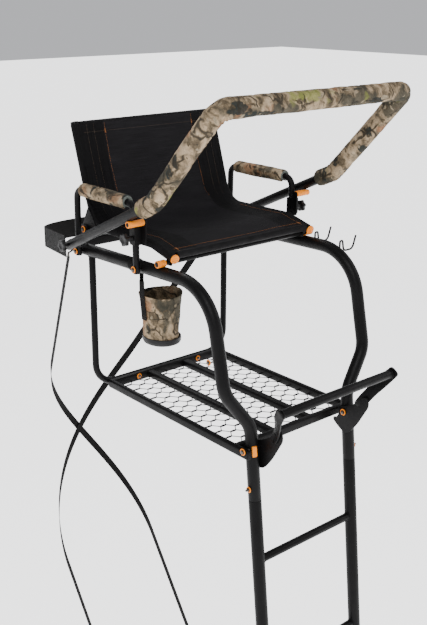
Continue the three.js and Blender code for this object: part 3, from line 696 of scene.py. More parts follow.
def bead(shell, loop, radius):
    """A weld bead: a small rippled ring of metal along a closed loop of points."""
    count = len(loop)
    rows = []
    for i in range(count):
        point = loop[i]
        heading = (loop[(i + 1) % count] - loop[i - 1]).normalized()
        up = up - heading * up.dot(heading) if i else heading.orthogonal()
        up.normalize()
        side = heading.cross(up)
        ripple = radius * (1 + 0.14 * math.sin(i * 2.4))
        rows.append([point + side * a * ripple + up * b * ripple for a, b in circle(1, 8)])
    grid(shell, rows, closed=True, wrap=True)


def ring_loop(centre, axis, radius, count=24):
    side, up = square_to(Vector(axis).normalized())
    centre = Vector(centre)
    return [centre + (side * math.cos(angle) + up * math.sin(angle)) * radius
            for angle in turns(count)]


def thick_sheet(shell, rows, thickness, closed=False, origin=(0, 0)):
    """A cloth of real thickness whose outer face is the given grid of points."""
    count = len(rows[0])
    inner = []
    for i, points in enumerate(rows):
        below, above = rows[max(i - 1, 0)], rows[min(i + 1, len(rows) - 1)]
        line = []
        for j, point in enumerate(points):
            left = points[(j - 1) % count] if closed else points[max(j - 1, 0)]
            right = points[(j + 1) % count] if closed else points[min(j + 1, count - 1)]
            normal = (right - left).cross(above[j] - below[j]).normalized()
            line.append(point - normal * thickness)
        inner.append(line)
    outer_ids = grid(shell, rows, closed, origin=origin)
    inner_ids = grid(shell, inner, closed, origin=origin)
    edges = [(outer_ids[0], inner_ids[0]), (outer_ids[-1], inner_ids[-1])]
    if not closed:
        for j in (0, count - 1):
            edges.append(([line[j] for line in outer_ids], [line[j] for line in inner_ids]))
    for k, (a, b) in enumerate(edges):
        around = closed and k < 2
        for j in range(len(a) if around else len(a) - 1):
            n = (j + 1) % len(a)
            shell.face((a[j], a[n], b[n], b[j]))


def smooth_step(value, low, high):
    """0 up to low and 1 from high on, with an even slope between."""
    share = min(max((value - low) / (high - low), 0), 1)
    return share * share * (3 - 2 * share)


def hump(value, middle, width):
    """1 at the middle, falling away smoothly on both sides."""
    return math.exp(-((value - middle) / width) ** 2)


# ---------------------------------------------------------------- finished pieces
SLOT_LOOKS = {
    "black_powder_coat": [POWDER],
    "zinc_steel": [STEEL, ORANGE],
    "orange_grip": [ORANGE],
    "black_plastic": [PLASTIC],
    "black_webbing": [WEBBING],
    "camo_fabric": [CAMO, FOAM],
    "sling_fabric": [SLING],
}


def form(node, shell, slot="black_powder_coat", body="stand", looks=None, sharp=38):
    """The piece that stands for one CAD node, in its slot's looks unless others are given."""
    return piece(f"{node}_form", shell, body, looks or SLOT_LOOKS[slot], [node], sharp)


# ---------------------------------------------------------------- fasteners
def bolt_head(shell, centre, axis, size=6.2, washer=8.6):
    """A washer, an orange retaining ring and a domed hexagon head, standing out along the axis."""
    lathe(shell, centre, axis, [(0, 0), (washer - 0.4, 0), (washer, 0.4), (washer, 1.7),
                                (washer - 0.4, 2.1), (0, 2.1)], 28)
    hexagon = [(0, 1.5), (size, 1.5), (size, 6.0), (size * 0.93, 6.8), (size * 0.7, 7.3), (0, 7.6)]
    lathe(shell, centre, axis, hexagon, 6)
    ring = [(washer * 0.98 + a, 2.4 + b) for a, b in circle(1.7, 8)]
    lathe(shell, centre, axis, ring, 32, look=1)


def shank(shell, start, end, radius=4):
    bar(shell, bent([start, end]), circle(radius, 16), up=(0.3, 0.2, 1), bevel=0.6)


def side_bolt(node, face, s, depth, reach=0, size=6.2, washer=8.6, radius=4):
    """A bolt along X with its head on a face; its shank goes depth into it and reach out of it."""
    shell = Shell()
    out = Vector((s, 0, 0))
    bolt_head(shell, face, out, size, washer)
    shank(shell, face - out * depth, face + out * reach, radius)
    form(node, shell, "zinc_steel")


def knob_form(shell, centre, axis, shank_length, collar=8):
    """A six-lobed hand knob with rounded rims on a collar and a steel stud."""
    axis = Vector(axis)
    centre = Vector(centre)
    lathe(shell, centre, axis, [(0, 0), (7.6, 0), (8, 0.5), (8, collar + 0.5), (0, collar + 0.5)], 28)
    grip = [(0, 0), (14.2, 0), (16.4, 0.7), (17.5, 2.4), (17.5, 9.6), (16.7, 11.2), (14.7, 12),
            (9, 11.7), (7.3, 10.6), (0, 10.4)]
    lathe(shell, centre + axis * collar, axis, grip, 60, lobes=6, depth=0.115)
    shank(shell, centre - axis * shank_length, centre + axis * 3)


# ---------------------------------------------------------------- main rails and ladder
def build_rails():
    for label, s in SIDES:
        shell = Shell()
        corners = [
            (s * SEAT_HALF, RAIL_REAR_Y, rail_z(RAIL_REAR_Y)),
            (s * SEAT_HALF, 84, rail_z(84)),
            (s * SEAT_HALF, 22, 160),
            on_ladder(s * LADDER_HALF, -45),
            on_ladder(s * LADDER_HALF, SEAM),
        ]
        bar(shell, bent(corners, (RAIL_BEND, 85, 85), 20), circle(RAIL_R, 36), up=(1, 0, 0))
        plug = [(0, 0), (16.6, 0), (16.6, 0.8), (14.5, 2.2), (8, 2.9), (0, 3.1)]
        lathe(shell, (s * SEAT_HALF, RAIL_REAR_Y - 0.5, rail_z(RAIL_REAR_Y)), (0, 1, 0), plug, 32, look=1)
        plate(shell, eased_box(662, 450, 698, 514, 9), s * 289, s * 293)
        form(f"{label}_main_rail", shell, looks=[POWDER, PLASTIC])


def rung_bead(shell, s, along):
    """The weld where a rung meets the round side of a ladder rail."""
    up = on_ladder(0, -1).normalized()
    out = Vector((1, 0, 0)).cross(up)
    centre = on_ladder(0, along)
    loop = []
    for angle in turns(26):
        offset = RUNG_R * math.sin(angle)
        x = s * (LADDER_HALF - math.sqrt(RAIL_R ** 2 - offset ** 2))
        loop.append(centre + Vector((x, 0, 0)) + up * RUNG_R * math.cos(angle) + out * offset)
    bead(shell, loop, 2.3)


def build_ladder():
    for index, label in enumerate(SECTION_NAMES):
        top = SEAM + 0.3 + index * RUNGS_PER_SECTION * RUNG_PITCH
        bottom = SEAM + (index + 1) * RUNGS_PER_SECTION * RUNG_PITCH
        shell = Shell()
        for _, s in SIDES:
            rail = [on_ladder(s * LADDER_HALF, top), on_ladder(s * LADDER_HALF, bottom)]
            bar(shell, bent(rail), circle(RAIL_R, 36), up=(1, 0, 0), bevel=1.0)
        for k in range(RUNGS_PER_SECTION):
            along = FIRST_RUNG + (index * RUNGS_PER_SECTION + k) * RUNG_PITCH
            rung = [on_ladder(-LADDER_HALF + 8, along), on_ladder(LADDER_HALF - 8, along)]
            bar(shell, bent(rung), circle(RUNG_R, 28))
            for _, s in SIDES:
                rung_bead(shell, s, along)
        if label == SECTION_NAMES[-1]:
            for _, s in SIDES:
                end = on_ladder(s * LADDER_HALF, bottom)
                foot = eased_box(end.x - 32, end.y - 45, end.x + 32, end.y + 45, 9)
                plate(shell, foot, end.z - 4, end.z + 4, "XY", 1.4)
                bead(shell, ring_loop(end + Vector((0, 0.5, 4.5)), (0, 0, 1), RAIL_R + 0.3, 32), 2.6)
        form(f"{label}_ladder_section", shell)
    for label, s in SIDES:
        face = on_ladder(0, 140) + Vector((s * (LADDER_HALF + RAIL_R + 0.3), 0, 0))
        side_bolt(f"{label}_ladder_bolt", face, s, 14, reach=13, size=5.4, washer=7.4, radius=3.2)


# ---------------------------------------------------------------- rear frame, brace, platform
def build_rear_frame():
    top = rail_z(REAR_Y) - RAIL_R - 2.3
    corners = [(-REAR_HALF, REAR_Y, top), (-REAR_HALF, REAR_Y, DECK_Z),
               (REAR_HALF, REAR_Y, DECK_Z), (REAR_HALF, REAR_Y, top)]
    shell = Shell()
    bar(shell, bent(corners, (75, 75), 16), circle(REAR_R, 28), up=(0, 1, 0))
    for s in (-1, 1):
        bead(shell, ring_loop((s * REAR_HALF, REAR_Y, top - 0.5), (0, 0, 1), REAR_R + 0.2), 2.2)
    form("rear_frame_tube", shell)


def build_brace():
    """A cross bar with two plates whose rear edges are toothed along the trunk's curve."""
    shell = Shell()
    cross_bar(shell, SEAT_HALF - RAIL_R - 1.3, BRACE_TUBE_Y, BRACE.z, rounded_box(28, 30, 4))
    outline = [(-120, BRACE_TUBE_Y)]
    for k in range(17):
        x = -120 + 15 * k
        depth = 14 if k % 2 == 0 else 26
        outline.append((x, TREE_Y - math.sqrt(TREE_R ** 2 - x ** 2) - depth))
    outline.append((120, BRACE_TUBE_Y))
    for low in (-15, 9):
        plate(shell, outline, BRACE.z + low, BRACE.z + low + 6, "XY", 0.7)
    form("tree_brace", shell)


def end_bead(shell, corners):
    """A weld bead round the end of a bar, along a closed line through the given corners."""
    loop = []
    for a, b in zip(corners, corners[1:] + corners[:1]):
        a, b = Vector(a), Vector(b)
        steps = max(3, round((b - a).length / 3))
        loop += [a.lerp(b, k / steps) for k in range(steps)]
    bead(shell, loop, 1.7)


def build_platform_frame():
    shell = Shell()
    side = rounded_box(18, 30, 8.4, 6)
    middle = rounded_box(28, 24, 8, 5)
    for s in (-1, 1):
        for x, front, rear, section, bevel in (
            (DECK_HALF, -24, DECK_REAR + 21.5, side, 4),
            (MID_BAR_X, DECK_FRONT + 2, DECK_REAR + 8, middle, 1.2),
        ):
            bar(shell, bent([(s * x, front, DECK_Z), (s * x, rear, DECK_Z)]), section, bevel=bevel)
    for low, high in ((DECK_FRONT - 8, MESH_FRONT), (DECK_REAR, DECK_REAR + 21.5)):
        cross_bar(shell, DECK_HALF + 3, (low + high) / 2, DECK_Z, rounded_box(high - low, 28, 6, 5))
    for s in (-1, 1):
        for y, outward in ((MESH_FRONT, -14), (DECK_REAR, 14)):
            x = s * MID_BAR_X
            end_bead(shell, [(x - 12, y, DECK_Z - 10), (x + 12, y, DECK_Z - 10),
                             (x + 12, y, DECK_Z + 10), (x - 12, y, DECK_Z + 10)])
            x = s * (DECK_HALF - 9)
            end_bead(shell, [(x, y, DECK_Z - 11), (x, y, DECK_Z + 11),
                             (x, y + outward, DECK_Z + 11), (x, y + outward, DECK_Z - 11)])
    form("platform_frame", shell)


def build_deck():
    bays = (("left", 90, 220), ("middle", -62, 62), ("right", -220, -90))
    for label, low, high in bays:
        shell = Shell()
        for a, b, thick in mesh_strands(low, high, MESH_FRONT, DECK_REAR):
            strand(shell, a, b, thick)
        form(f"{label}_deck_mesh", shell, sharp=60)


def build_platform_bolts():
    for label, s in SIDES:
        shell = Shell()
        x, z = s * 128, DECK_Z + 5
        centre = Vector((x, DECK_REAR - 0.3, z))
        bolt_head(shell, centre, (0, -1, 0), size=5.2, washer=7.2)
        shank(shell, centre, (x, 672, z))
        form(f"{label}_platform_bolt", shell, "zinc_steel")


MESH_PERIOD = 74  # across, between strands of one row
MESH_ROW = 23  # between rows
MESH_BOND = 24  # length of a thick strand


def mesh_strands(low, high, front, rear):
    """Ends of the strands of an expanded mesh: thick bonds across, thin slanting legs between."""
    rows = round((rear - front) / MESH_ROW)
    pitch = (rear - front) / rows
    for i in range(rows + 1):
        y = front + i * pitch
        shift = MESH_PERIOD / 2 if i % 2 else 0
        x = -6 * MESH_PERIOD + shift
        while x < 6 * MESH_PERIOD:
            bond = (x - MESH_BOND / 2, x + MESH_BOND / 2)
            if 0 < i < rows:
                yield from clipped((bond[0], y), (bond[1], y), low, high, True)
            if i < rows:
                reach = MESH_PERIOD / 2 - MESH_BOND
                yield from clipped((bond[1] - 2, y), (bond[1] + reach + 2, y + pitch), low, high, False)
                yield from clipped((bond[0] + 2, y), (bond[0] - reach - 2, y + pitch), low, high, False)
            x += MESH_PERIOD


def clipped(a, b, low, high, thick):
    """The part of a strand between two x values, if any."""
    if a[0] > b[0]:
        a, b = b, a
    if b[0] <= low or a[0] >= high:
        return
    slope = (b[1] - a[1]) / (b[0] - a[0])
    start = (max(a[0], low), a[1] + slope * (max(a[0], low) - a[0]))
    end = (min(b[0], high), a[1] + slope * (min(b[0], high) - a[0]))
    if end[0] - start[0] > 2:
        yield start, end, thick


def strand(shell, a, b, thick):
    """One strand of the mesh: a tilted leaf where bonded, a thin rounded strip between."""
    z = DECK_Z - 6.2
    start, end = Vector((*a, z)), Vector((*b, z))
    heading = (end - start).normalized()
    side = Vector((-heading.y, heading.x, 0))
    widths = (2.6, 5.0, 6.2, 6.5, 6.2, 5.0, 2.6) if thick else (2.9, 2.6, 2.5, 2.6, 2.9)
    rows = []
    for k, width in enumerate(widths):
        share = k / (len(widths) - 1)
        tilt = (share - 0.5) * (1.2 if thick else 0)
        centre = start.lerp(end, share)
        half = width / 2 * (1.25 if thick else 1.1)
        section = rounded_box(2 * half, 2.6 if thick else 2.2, min(half, 1.1) * 0.9, 2)
        lift = Vector((0, 0, 1)) + side * tilt * 0.3
        rows.append([centre + side * p + lift * q for p, q in section])
    capped(shell, rows)


# ---------------------------------------------------------------- footrest
def smooth_curve(points, steps):
    """A smooth curve through the points (Catmull-Rom)."""
    points = [Vector(p) for p in points]
    padded = [points[0] * 2 - points[1], *points, points[-1] * 2 - points[-2]]
    curve = []
    for i in range(1, len(padded) - 2):
        a, b, c, d = padded[i - 1:i + 3]
        for k in range(steps):
            t = k / steps
            curve.append(0.5 * (2 * b + (c - a) * t + (2 * a - 5 * b + 4 * c - d) * t * t
                                + (3 * b - a - 3 * c + d) * t ** 3))
    curve.append(points[-1])
    return curve


def ribbon(shell, points, normals, width, thick, round_ends=0.0):
    """A flat band along points whose flat side faces the normals. Ends may be rounded in plan."""
    rows = []
    total = sum((b - a).length for a, b in zip(points, points[1:]))
    run = 0
    for i, point in enumerate(points):
        if i:
            run += (point - points[i - 1]).length
        heading = (points[min(i + 1, len(points) - 1)] - points[max(i - 1, 0)]).normalized()
        normal = normals[i] - heading * normals[i].dot(heading)
        normal.normalize()
        side = heading.cross(normal)
        half = width / 2
        from_end = min(run, total - run)
        if from_end < round_ends:
            drop = round_ends - from_end
            half -= round_ends - math.sqrt(max(round_ends ** 2 - drop ** 2, 0))
        section = rounded_box(thick, 2 * max(half, 1), min(thick * 0.45, 1.2), 3)
        rows.append([point + normal * a + side * b for a, b in section])
    capped(shell, rows)


def build_footrest():
    inner_x = LADDER_HALF - RAIL_R - 5.3
    outline = soften([
        (-50, 24), (-14, 4), (6, -2), (12, -30), (20, -44), (33, -46), (32, -58), (-2, -80),
        (-16, -84), (-34, -76), (-62, -40), (-104, 34), (-96, 62), (-72, 52),
    ], 16, 6)
    for label, s in SIDES:
        shell = Shell()
        plate(shell, outline, s * inner_x, s * (inner_x + 5), bevel=1.1)
        line = [(s * (inner_x + 2.5), -64, 20), (s * (inner_x + 3.5), -76, 42), (s * 195, -96, 76),
                (s * 218, -119, 110), (s * 231, -139, 139), (s * 233.5, -146, 150)]
        steps = 6
        points = smooth_curve(line, steps)
        facing = [Vector((s, 0.5, 0)), Vector((s, 0.5, -0.05)), Vector((s, 0.5, -0.2)),
                  Vector((s, 0.25, -0.2)), Vector((s, 0.05, 0)), Vector((s, 0, 0))]
        facing.append(facing[-1])
        normals = [facing[i // steps].lerp(facing[i // steps + 1], i % steps / steps)
                   for i in range(len(points))]
        ribbon(shell, points, normals, 34, 5, round_ends=9)
        bead(shell, ring_loop((s * 222.5, *FOOT_BAR), (1, 0, 0), 13.2, 28), 2.1)
        form(f"{label}_footrest_plate", shell, body="footrest")

        shell = Shell()
        inside = (s * (inner_x - 0.3), *FOOT_PIVOT)
        outside = (s * (DECK_HALF + 9.3), *FOOT_PIVOT)
        bolt_head(shell, inside, (-s, 0, 0))
        bolt_head(shell, outside, (s, 0, 0))
        shank(shell, inside, outside)
        form(f"{label}_footrest_bolt", shell, "zinc_steel")
    shell = Shell()
    cross_bar(shell, 222, *FOOT_BAR, circle(13, 32), bevel=1.5)
    form("footrest_bar", shell, body="footrest")


# ---------------------------------------------------------------- seat frame
def build_seat_frame():
    lug = soften([(608, 508), (694, 486), (696, 512), (664, 572), (648, 556), (630, 528)], 9)
    bar_z = rail_z(REST_BAR_Y) + RAIL_R + REST_SLEEVE_R
    tab = soften([(REST_BAR_Y - 12, bar_z - 10), (REST_BAR_Y + 12, bar_z - 10),
                  (REST_BAR_Y + 12, bar_z + 25), (REST_BAR_Y - 12, bar_z + 22)], 6)
    cap = [(0, 0), (12.9, 0), (13.4, 0.6), (13.4, 4.6), (12.6, 6.2), (9.5, 7.4), (5, 8), (0, 8.2)]
    for label, s in SIDES:
        shell = Shell()
        corners = [Vector((s * SEAT_X, y, z)) for y, z in SEAT_TUBE]
        bar(shell, bent(corners, SEAT_BENDS, 16), circle(SEAT_R, 28), up=(1, 0, 0))
        plate(shell, lug, s * 281, s * 287)
        plate(shell, tab, s * (SEAT_X - 9), s * (SEAT_X - 5))
        form(f"{label}_seat_tube", shell, body="seat")

        shell = Shell()
        outward = (corners[-1] - corners[-2]).normalized()
        lathe(shell, corners[-1] + outward * 0.3, outward, cap, 32)
        form(f"{label}_seat_cap", shell, "orange_grip", "seat")
        side_bolt(f"{label}_seat_bolt", Vector((s * 293.3, *SEAT_PIVOT)), s, 12)
    for name, y, z in SEAT_BARS:
        shell = Shell()
        cross_bar(shell, SEAT_X - SEAT_R - 0.8, y, z, circle(9, 24))
        form(f"seat_{name}_bar", shell, body="seat")

    z = bar_z + 0.3
    shell = Shell()
    cross_bar(shell, REST_BAR_HALF, REST_BAR_Y, z, circle(REST_BAR_R, 24))
    form("seat_rest_bar", shell, body="seat")
    for label, s in SIDES:
        shell = Shell()
        low, high = REST_BAR_HALF - 30, REST_BAR_HALF - 1
        grip_sleeve(shell, (s * low, REST_BAR_Y, z), (s * high, REST_BAR_Y, z), REST_SLEEVE_R, 7.8)
        form(f"{label}_seat_rest_sleeve", shell, "orange_grip", "seat")


def grip_sleeve(shell, start, end, outer, inner):
    """A vinyl sleeve on a bar, with rounded lips and two faint moulded rings."""
    start, end = Vector(start), Vector(end)
    length = (end - start).length
    lip = 1.4
    profile = [(inner, 0.4), (inner + 0.6, 0), (outer - lip, 0), (outer - 0.4, 0.5), (outer, lip)]
    for share in (0.2, 0.8):
        mark = length * share
        profile += [(outer, mark - 1), (outer - 0.5, mark), (outer, mark + 1)]
    profile += [(outer, length - lip), (outer - 0.4, length - 0.5), (outer - lip, length),
                (inner + 0.6, length), (inner, length - 0.4)]
    lathe(shell, start, end - start, profile, 32)


# ---------------------------------------------------------------- sling
SLING_WRAP = SEAT_R + 1.0  # radius of the sleeve round a side tube
SLING_THICK = 1.3
HEM_R = 11.2  # radius of the hems round the front and top bars


def sling_stations():
    """Points, headings and runs from the top bar to the front bar, along the side tubes."""
    path = dense(bent([(0, y, z) for y, z in SEAT_TUBE], SEAT_BENDS), 9)
    stations = []
    run = 0
    for i, (point, heading) in enumerate(path):
        if i:
            run += (point - path[i - 1][0]).length
        stations.append((point, heading, run))
    return [s for s in stations if 5 < s[2] < stations[-1][2] - 7]


STATIONS = sling_stations()
RUN_START, RUN_END = STATIONS[0][2], STATIONS[-1][2]
BEND_RUN = 318  # where seat and back meet


def web_height(run, x):
    """How far the cloth stands off the side tubes' centre line."""
    across = min(abs(x) / SEAT_X, 1)
    bow = 1 - across ** 2.4
    seat = 13 * hump(run, 480, 105)
    back = 9 * hump(run, 140, 95)
    fold = 15 * hump(run, BEND_RUN, 42)
    ends = 2.0 * (smooth_step(run, RUN_START + 40, RUN_START) + smooth_step(run, RUN_END - 40, RUN_END))
    ripple = noise.noise(Vector((x * 0.012, run * 0.02, 3.1))) * 1.6 * bow
    pull = noise.noise(Vector((x * 0.035 + run * 0.03, run * 0.006, 8.4)))
    pull *= 1.3 * hump(run, BEND_RUN, 60)
    return SLING_WRAP - bow * (seat + back - fold) + ends * bow ** 0.3 + ripple + pull * bow


def sling_point(station, x):
    point, heading, run = station
    normal = Vector((0, heading.z, -heading.y))
    return Vector((x, point.y, point.z)) + normal * web_height(run, x)


def sling_rows():
    web = [SEAT_X * k / 22 for k in range(22, -23, -1)]
    rows = []
    for station in STATIONS:
        point, heading, run = station
        normal = Vector((0, heading.z, -heading.y))
        # The sleeve is cut back where the hinge lugs leave the tubes.
        cut = smooth_step(run, 236, 256) * smooth_step(run, 402, 382)
        first = math.radians(-150 + 205 * cut)
        line = []
        for s in (1, -1):
            arc = []
            for k in range(14):
                angle = first + (math.pi / 2 - first) * k / 14
                arc.append(Vector((s * (SEAT_X + SLING_WRAP * math.cos(angle)), point.y, point.z))
                           + normal * SLING_WRAP * math.sin(angle))
            if s == 1:
                line += arc
                line += [sling_point(station, x) for x in web]
            else:
                line += arc[::-1]
        rows.append(line)
    return rows


def stitch_line(shell, points, look=0, length=3.4, gap=1.7, radius=0.4):
    """Raised dashes of thread along points on the cloth."""
    carried = 0
    for a, b in zip(points, points[1:]):
        span = (b - a).length
        while carried < span:
            start = a.lerp(b, carried / span)
            end = a.lerp(b, min((carried + length) / span, 1.2))
            rise = Vector((0, 0, 0.3))
            heading = (end - start).normalized()
            bar(shell, [(start, heading), ((start + end) / 2 + rise, heading), (end, heading)],
                circle(radius, 6), up=(0.31, 0.17, 0.93), bevel=0.3, look=look)
            carried += length + gap
        carried -= span


def on_web(run, x, lift=0.5):
    """A point on the cloth's upper face."""
    for a, b in zip(STATIONS, STATIONS[1:]):
        if a[2] <= run <= b[2]:
            share = (run - a[2]) / (b[2] - a[2])
            break
    else:
        a, b, share = STATIONS[-2], STATIONS[-1], 1
    heading = a[1].lerp(b[1], share).normalized()
    point = sling_point(a, x).lerp(sling_point(b, x), share)
    return point + Vector((0, heading.z, -heading.y)) * lift


def build_sling():
    shell = Shell()
    rows = sling_rows()
    middle = len(rows[0]) // 2
    reach = sum((b - a).length for a, b in zip(rows[5][:middle], rows[5][1:middle + 1])) / 1000
    thick_sheet(shell, rows, SLING_THICK, origin=(-reach, 0))
    sling = piece("sling_cloth_panel", shell, "seat", [SLING], ["sling"], sharp=50)

    for name, y, z in SEAT_BARS:
        shell = Shell()
        half = SEAT_X - 14
        path = dense(bent([(-half, y, z), (half, y, z)]), 14)
        rows = []
        for point, _, up, side in framed(path, (0, 0, 1)):
            line = []
            for a, b in circle(HEM_R):
                lump = 1 + 0.05 * noise.noise(Vector((point.x * 0.03, a * 0.1, b * 0.1)))
                line.append(point + (side * a + up * b) * lump)
            rows.append(line)
        capped(shell, rows)
        piece(f"sling_{name}_hem", shell, "seat", [HEM])

    shell = Shell()
    runs = [RUN_START + 4 + k * (RUN_END - RUN_START - 8) / 110 for k in range(111)]
    back = [run for run in runs if run < BEND_RUN - 12]
    seat = [run for run in runs if run > 400]
    for s in (-1, 1):
        stitch_line(shell, [on_web(run, s * PANEL_EDGE) for run in back])
        stitch_line(shell, [on_web(run, s * SEAM_EDGE) for run in seat])
        for x in (215, 241):
            stitch_line(shell, [on_web(run, s * x) for run in back], 1)
    back_hem, seat_hem = RUN_START + 29, RUN_END - 19
    for run, look in ((back_hem, 1), (seat_hem, 0)):
        xs = [-254 + 508 * k / 60 for k in range(61)]
        stitch_line(shell, [on_web(run, x) for x in xs], look)
    for s in (-1, 1):
        for run, x in ((back_hem, PANEL_EDGE), (seat_hem, SEAM_EDGE)):
            tack = []
            for k in range(13):
                tack.append(on_web(run - 6 + k, s * (x + (1.8 if k % 2 else -1.8)), 0.8))
            stitch_line(shell, tack, 0, 2.4, 0.4, 0.45)
    stitches = piece("sling_stitching", shell, "seat", [THREAD, DULL_THREAD], sharp=80)


# ---------------------------------------------------------------- pads
def pad_form(shell, stations, outer, inner, start, end, closed):
    """A foam sleeve: outer(i, angle) gives its radius. Look 0 is the cover, look 1 the foam."""
    steps = 40
    angles = [start + (end - start) * k / steps for k in range(steps if closed else steps + 1)]
    outer_rows, inner_rows = [], []
    for i, (point, _, up, side) in enumerate(stations):
        spokes = [side * math.cos(a) + up * math.sin(a) for a in angles]
        outer_rows.append([point + spoke * outer(i, a) for spoke, a in zip(spokes, angles)])
        inner_rows.append([point + spoke * inner for spoke in spokes])
    out = grid(shell, outer_rows, closed, 0)
    inn = grid(shell, inner_rows, closed, 1)
    count = len(angles)
    for row_out, row_in in ((out[0], inn[0]), (out[-1], inn[-1])):
        for j in range(count if closed else count - 1):
            k = (j + 1) % count
            shell.face((row_out[j], row_out[k], row_in[k], row_in[j]), look=1)
    if not closed:
        for j in (0, count - 1):
            for i in range(len(out) - 1):
                shell.face((out[i][j], out[i + 1][j], inn[i + 1][j], inn[i][j]), look=1)


def build_arms():
    for label, s in SIDES:
        x = s * ARM_X
        corners = [(x, ARM_REAR, rail_z(ARM_REAR) - 14), (x, ARM_REAR - 4, ARM_TOP),
                   (x, ARM_FRONT + 6, ARM_TOP), (x, ARM_FRONT, rail_z(ARM_FRONT) - 14)]
        shell = Shell()
        bar(shell, bent(corners, (ARM_BEND, ARM_BEND)), circle(ARM_R), up=(1, 0, 0), bevel=2)
        y, z = SHOOT_BOLT
        plate(shell, eased_box(y - 14, z - 13, ARM_REAR, z + 13, 8), s * (ARM_X + 3), s * (ARM_X + 8))
        form(f"{label}_armrest", shell)
        for end, y in (("rear", ARM_REAR), ("front", ARM_FRONT)):
            face = Vector((s * (ARM_X + ARM_R + 0.3), y, rail_z(y)))
            side_bolt(f"{label}_armrest_{end}_bolt", face, s, 24)

        shell = Shell()
        step = 5
        ends = [(x, ARM_REAR - ARM_BEND - 6, ARM_TOP), (x, ARM_FRONT + ARM_BEND + 8, ARM_TOP)]
        stations = framed(dense(bent(ends), step), (0, 0, 1))
        count = len(stations)

        def outer(i, angle):
            from_end = min(i, count - 1 - i) * step
            swell = 1.0 * math.sin(math.pi * i / (count - 1))
            lump = noise.noise(Vector((i * 0.16, math.cos(angle) * 1.3 + s * 7, math.sin(angle) * 1.3)))
            return PAD_R - 1.6 + swell + 1.1 * lump - 2.2 * (1 - smooth_step(from_end, 0, 6))

        pad_form(shell, stations, outer, ARM_R + 0.9, math.radians(-58), math.radians(238), False)
        pad = form(f"{label}_arm_pad", shell, "camo_fabric", sharp=50)


def build_shooting_rail():
    corners = [(-SHOOT_X, *SHOOT_PIVOT), (-SHOOT_X, *SHOOT_BEND), (-SHOOT_X, *SHOOT_FRONT),
               (SHOOT_X, *SHOOT_FRONT), (SHOOT_X, *SHOOT_BEND), (SHOOT_X, *SHOOT_PIVOT)]
    shell = Shell()
    bar(shell, bent(corners, SHOOT_RADII), circle(SHOOT_R, 32), up=(1, 0, 0), bevel=1.4)
    plug = [(0, 0), (13.2, 0), (13.2, 1), (11, 2.2), (5, 2.9), (0, 3)]
    heading = (Vector((0, *SHOOT_PIVOT)) - Vector((0, *SHOOT_BEND))).normalized()
    for s in (-1, 1):
        lathe(shell, Vector((s * SHOOT_X, *SHOOT_PIVOT)) - heading * 0.6, heading, plug, look=1)
    form("shooting_rail", shell, body="rail", looks=[POWDER, PLASTIC])
    build_shooting_pad(corners)

    y, z = SHOOT_BOLT
    for label, s in SIDES:
        shell = Shell()
        knob_form(shell, (s * (SHOOT_X + SHOOT_R + 0.3), y, z), (s, 0, 0), 2 * SHOOT_R + 22)
        form(f"{label}_pivot_knob", shell, "black_plastic", f"{label}_pivot_knob")


def build_shooting_pad(corners):
    """The rail's wrinkled foam sleeve, from just behind one side's bend to just behind the other's."""
    share = 0.87
    begin = [a + (b - a) * share for a, b in zip(SHOOT_PIVOT, SHOOT_BEND)]
    corners = [(-SHOOT_X, *begin), *corners[1:-1], (SHOOT_X, *begin)]
    path = dense(bent(corners, SHOOT_RADII), 7)
    stations = framed(path, (1, 0, 0))
    count = len(stations)
    bends = []
    for i in range(count):
        a, b = path[max(i - 1, 0)], path[min(i + 1, count - 1)]
        bends.append((b[1] - a[1]) / max((b[0] - a[0]).length, 1e-6))
    spread = 4
    smooth_bends = []
    for i in range(count):
        near = bends[max(i - spread, 0):i + spread + 1]
        smooth_bends.append(sum(near, Vector()) / len(near) * SHOOT_RADII[1])
    runs = [0]
    for (a, _), (b, _) in zip(path, path[1:]):
        runs.append(runs[-1] + (b - a).length)

    seam_side = Vector((0, -0.92, 0.39))

    def outer(i, angle):
        point, heading, up, side = stations[i]
        spoke = side * math.cos(angle) + up * math.sin(angle)
        bend = smooth_bends[i]
        inside = max(spoke.dot(bend), 0)
        outside = max(-spoke.dot(bend), 0)
        run = runs[i]
        folds = math.sin(run / 3.1 + 1.7 * math.sin(angle * 2)) * 2.6 * min(inside, 1)
        crease = noise.noise(Vector((run * 0.045, angle * 1.1, 1.7)))
        pucker = -2.4 * hump(crease, 0, 0.07)
        lump = noise.noise(point * 0.016 + spoke * 1.1) * 2.2
        twist = math.sin(angle * 2 + run * 0.055) * noise.noise(Vector((run * 0.02, 5.2, 0))) * 1.3
        from_end = min(run, runs[-1] - run)
        # The cover's overlap runs along the front bar's forward side.
        seam = seam_side.dot(spoke)
        below = spoke.cross(seam_side).dot(heading)
        on_bar = smooth_step(SHOOT_X - abs(point.x), 6, 40)
        step = on_bar * 1.5 * smooth_step(below, -0.06, 0.02) * smooth_step(seam, 0.2, 0.8)
        groove = on_bar * 3.2 * hump(below, 0, 0.07) * smooth_step(seam, 0, 0.5)
        base = SHOOT_PAD_R - 1.5 - 2.6 * (1 - smooth_step(from_end, 0, 7))
        return base + folds + pucker + lump + twist + 1.2 * min(outside, 1) + step - groove

    shell = Shell()
    pad_form(shell, stations, outer, SHOOT_R + 0.5, 0, 2 * math.pi, True)
    pad = form("shooting_rail_pad", shell, "camo_fabric", "rail", sharp=55)


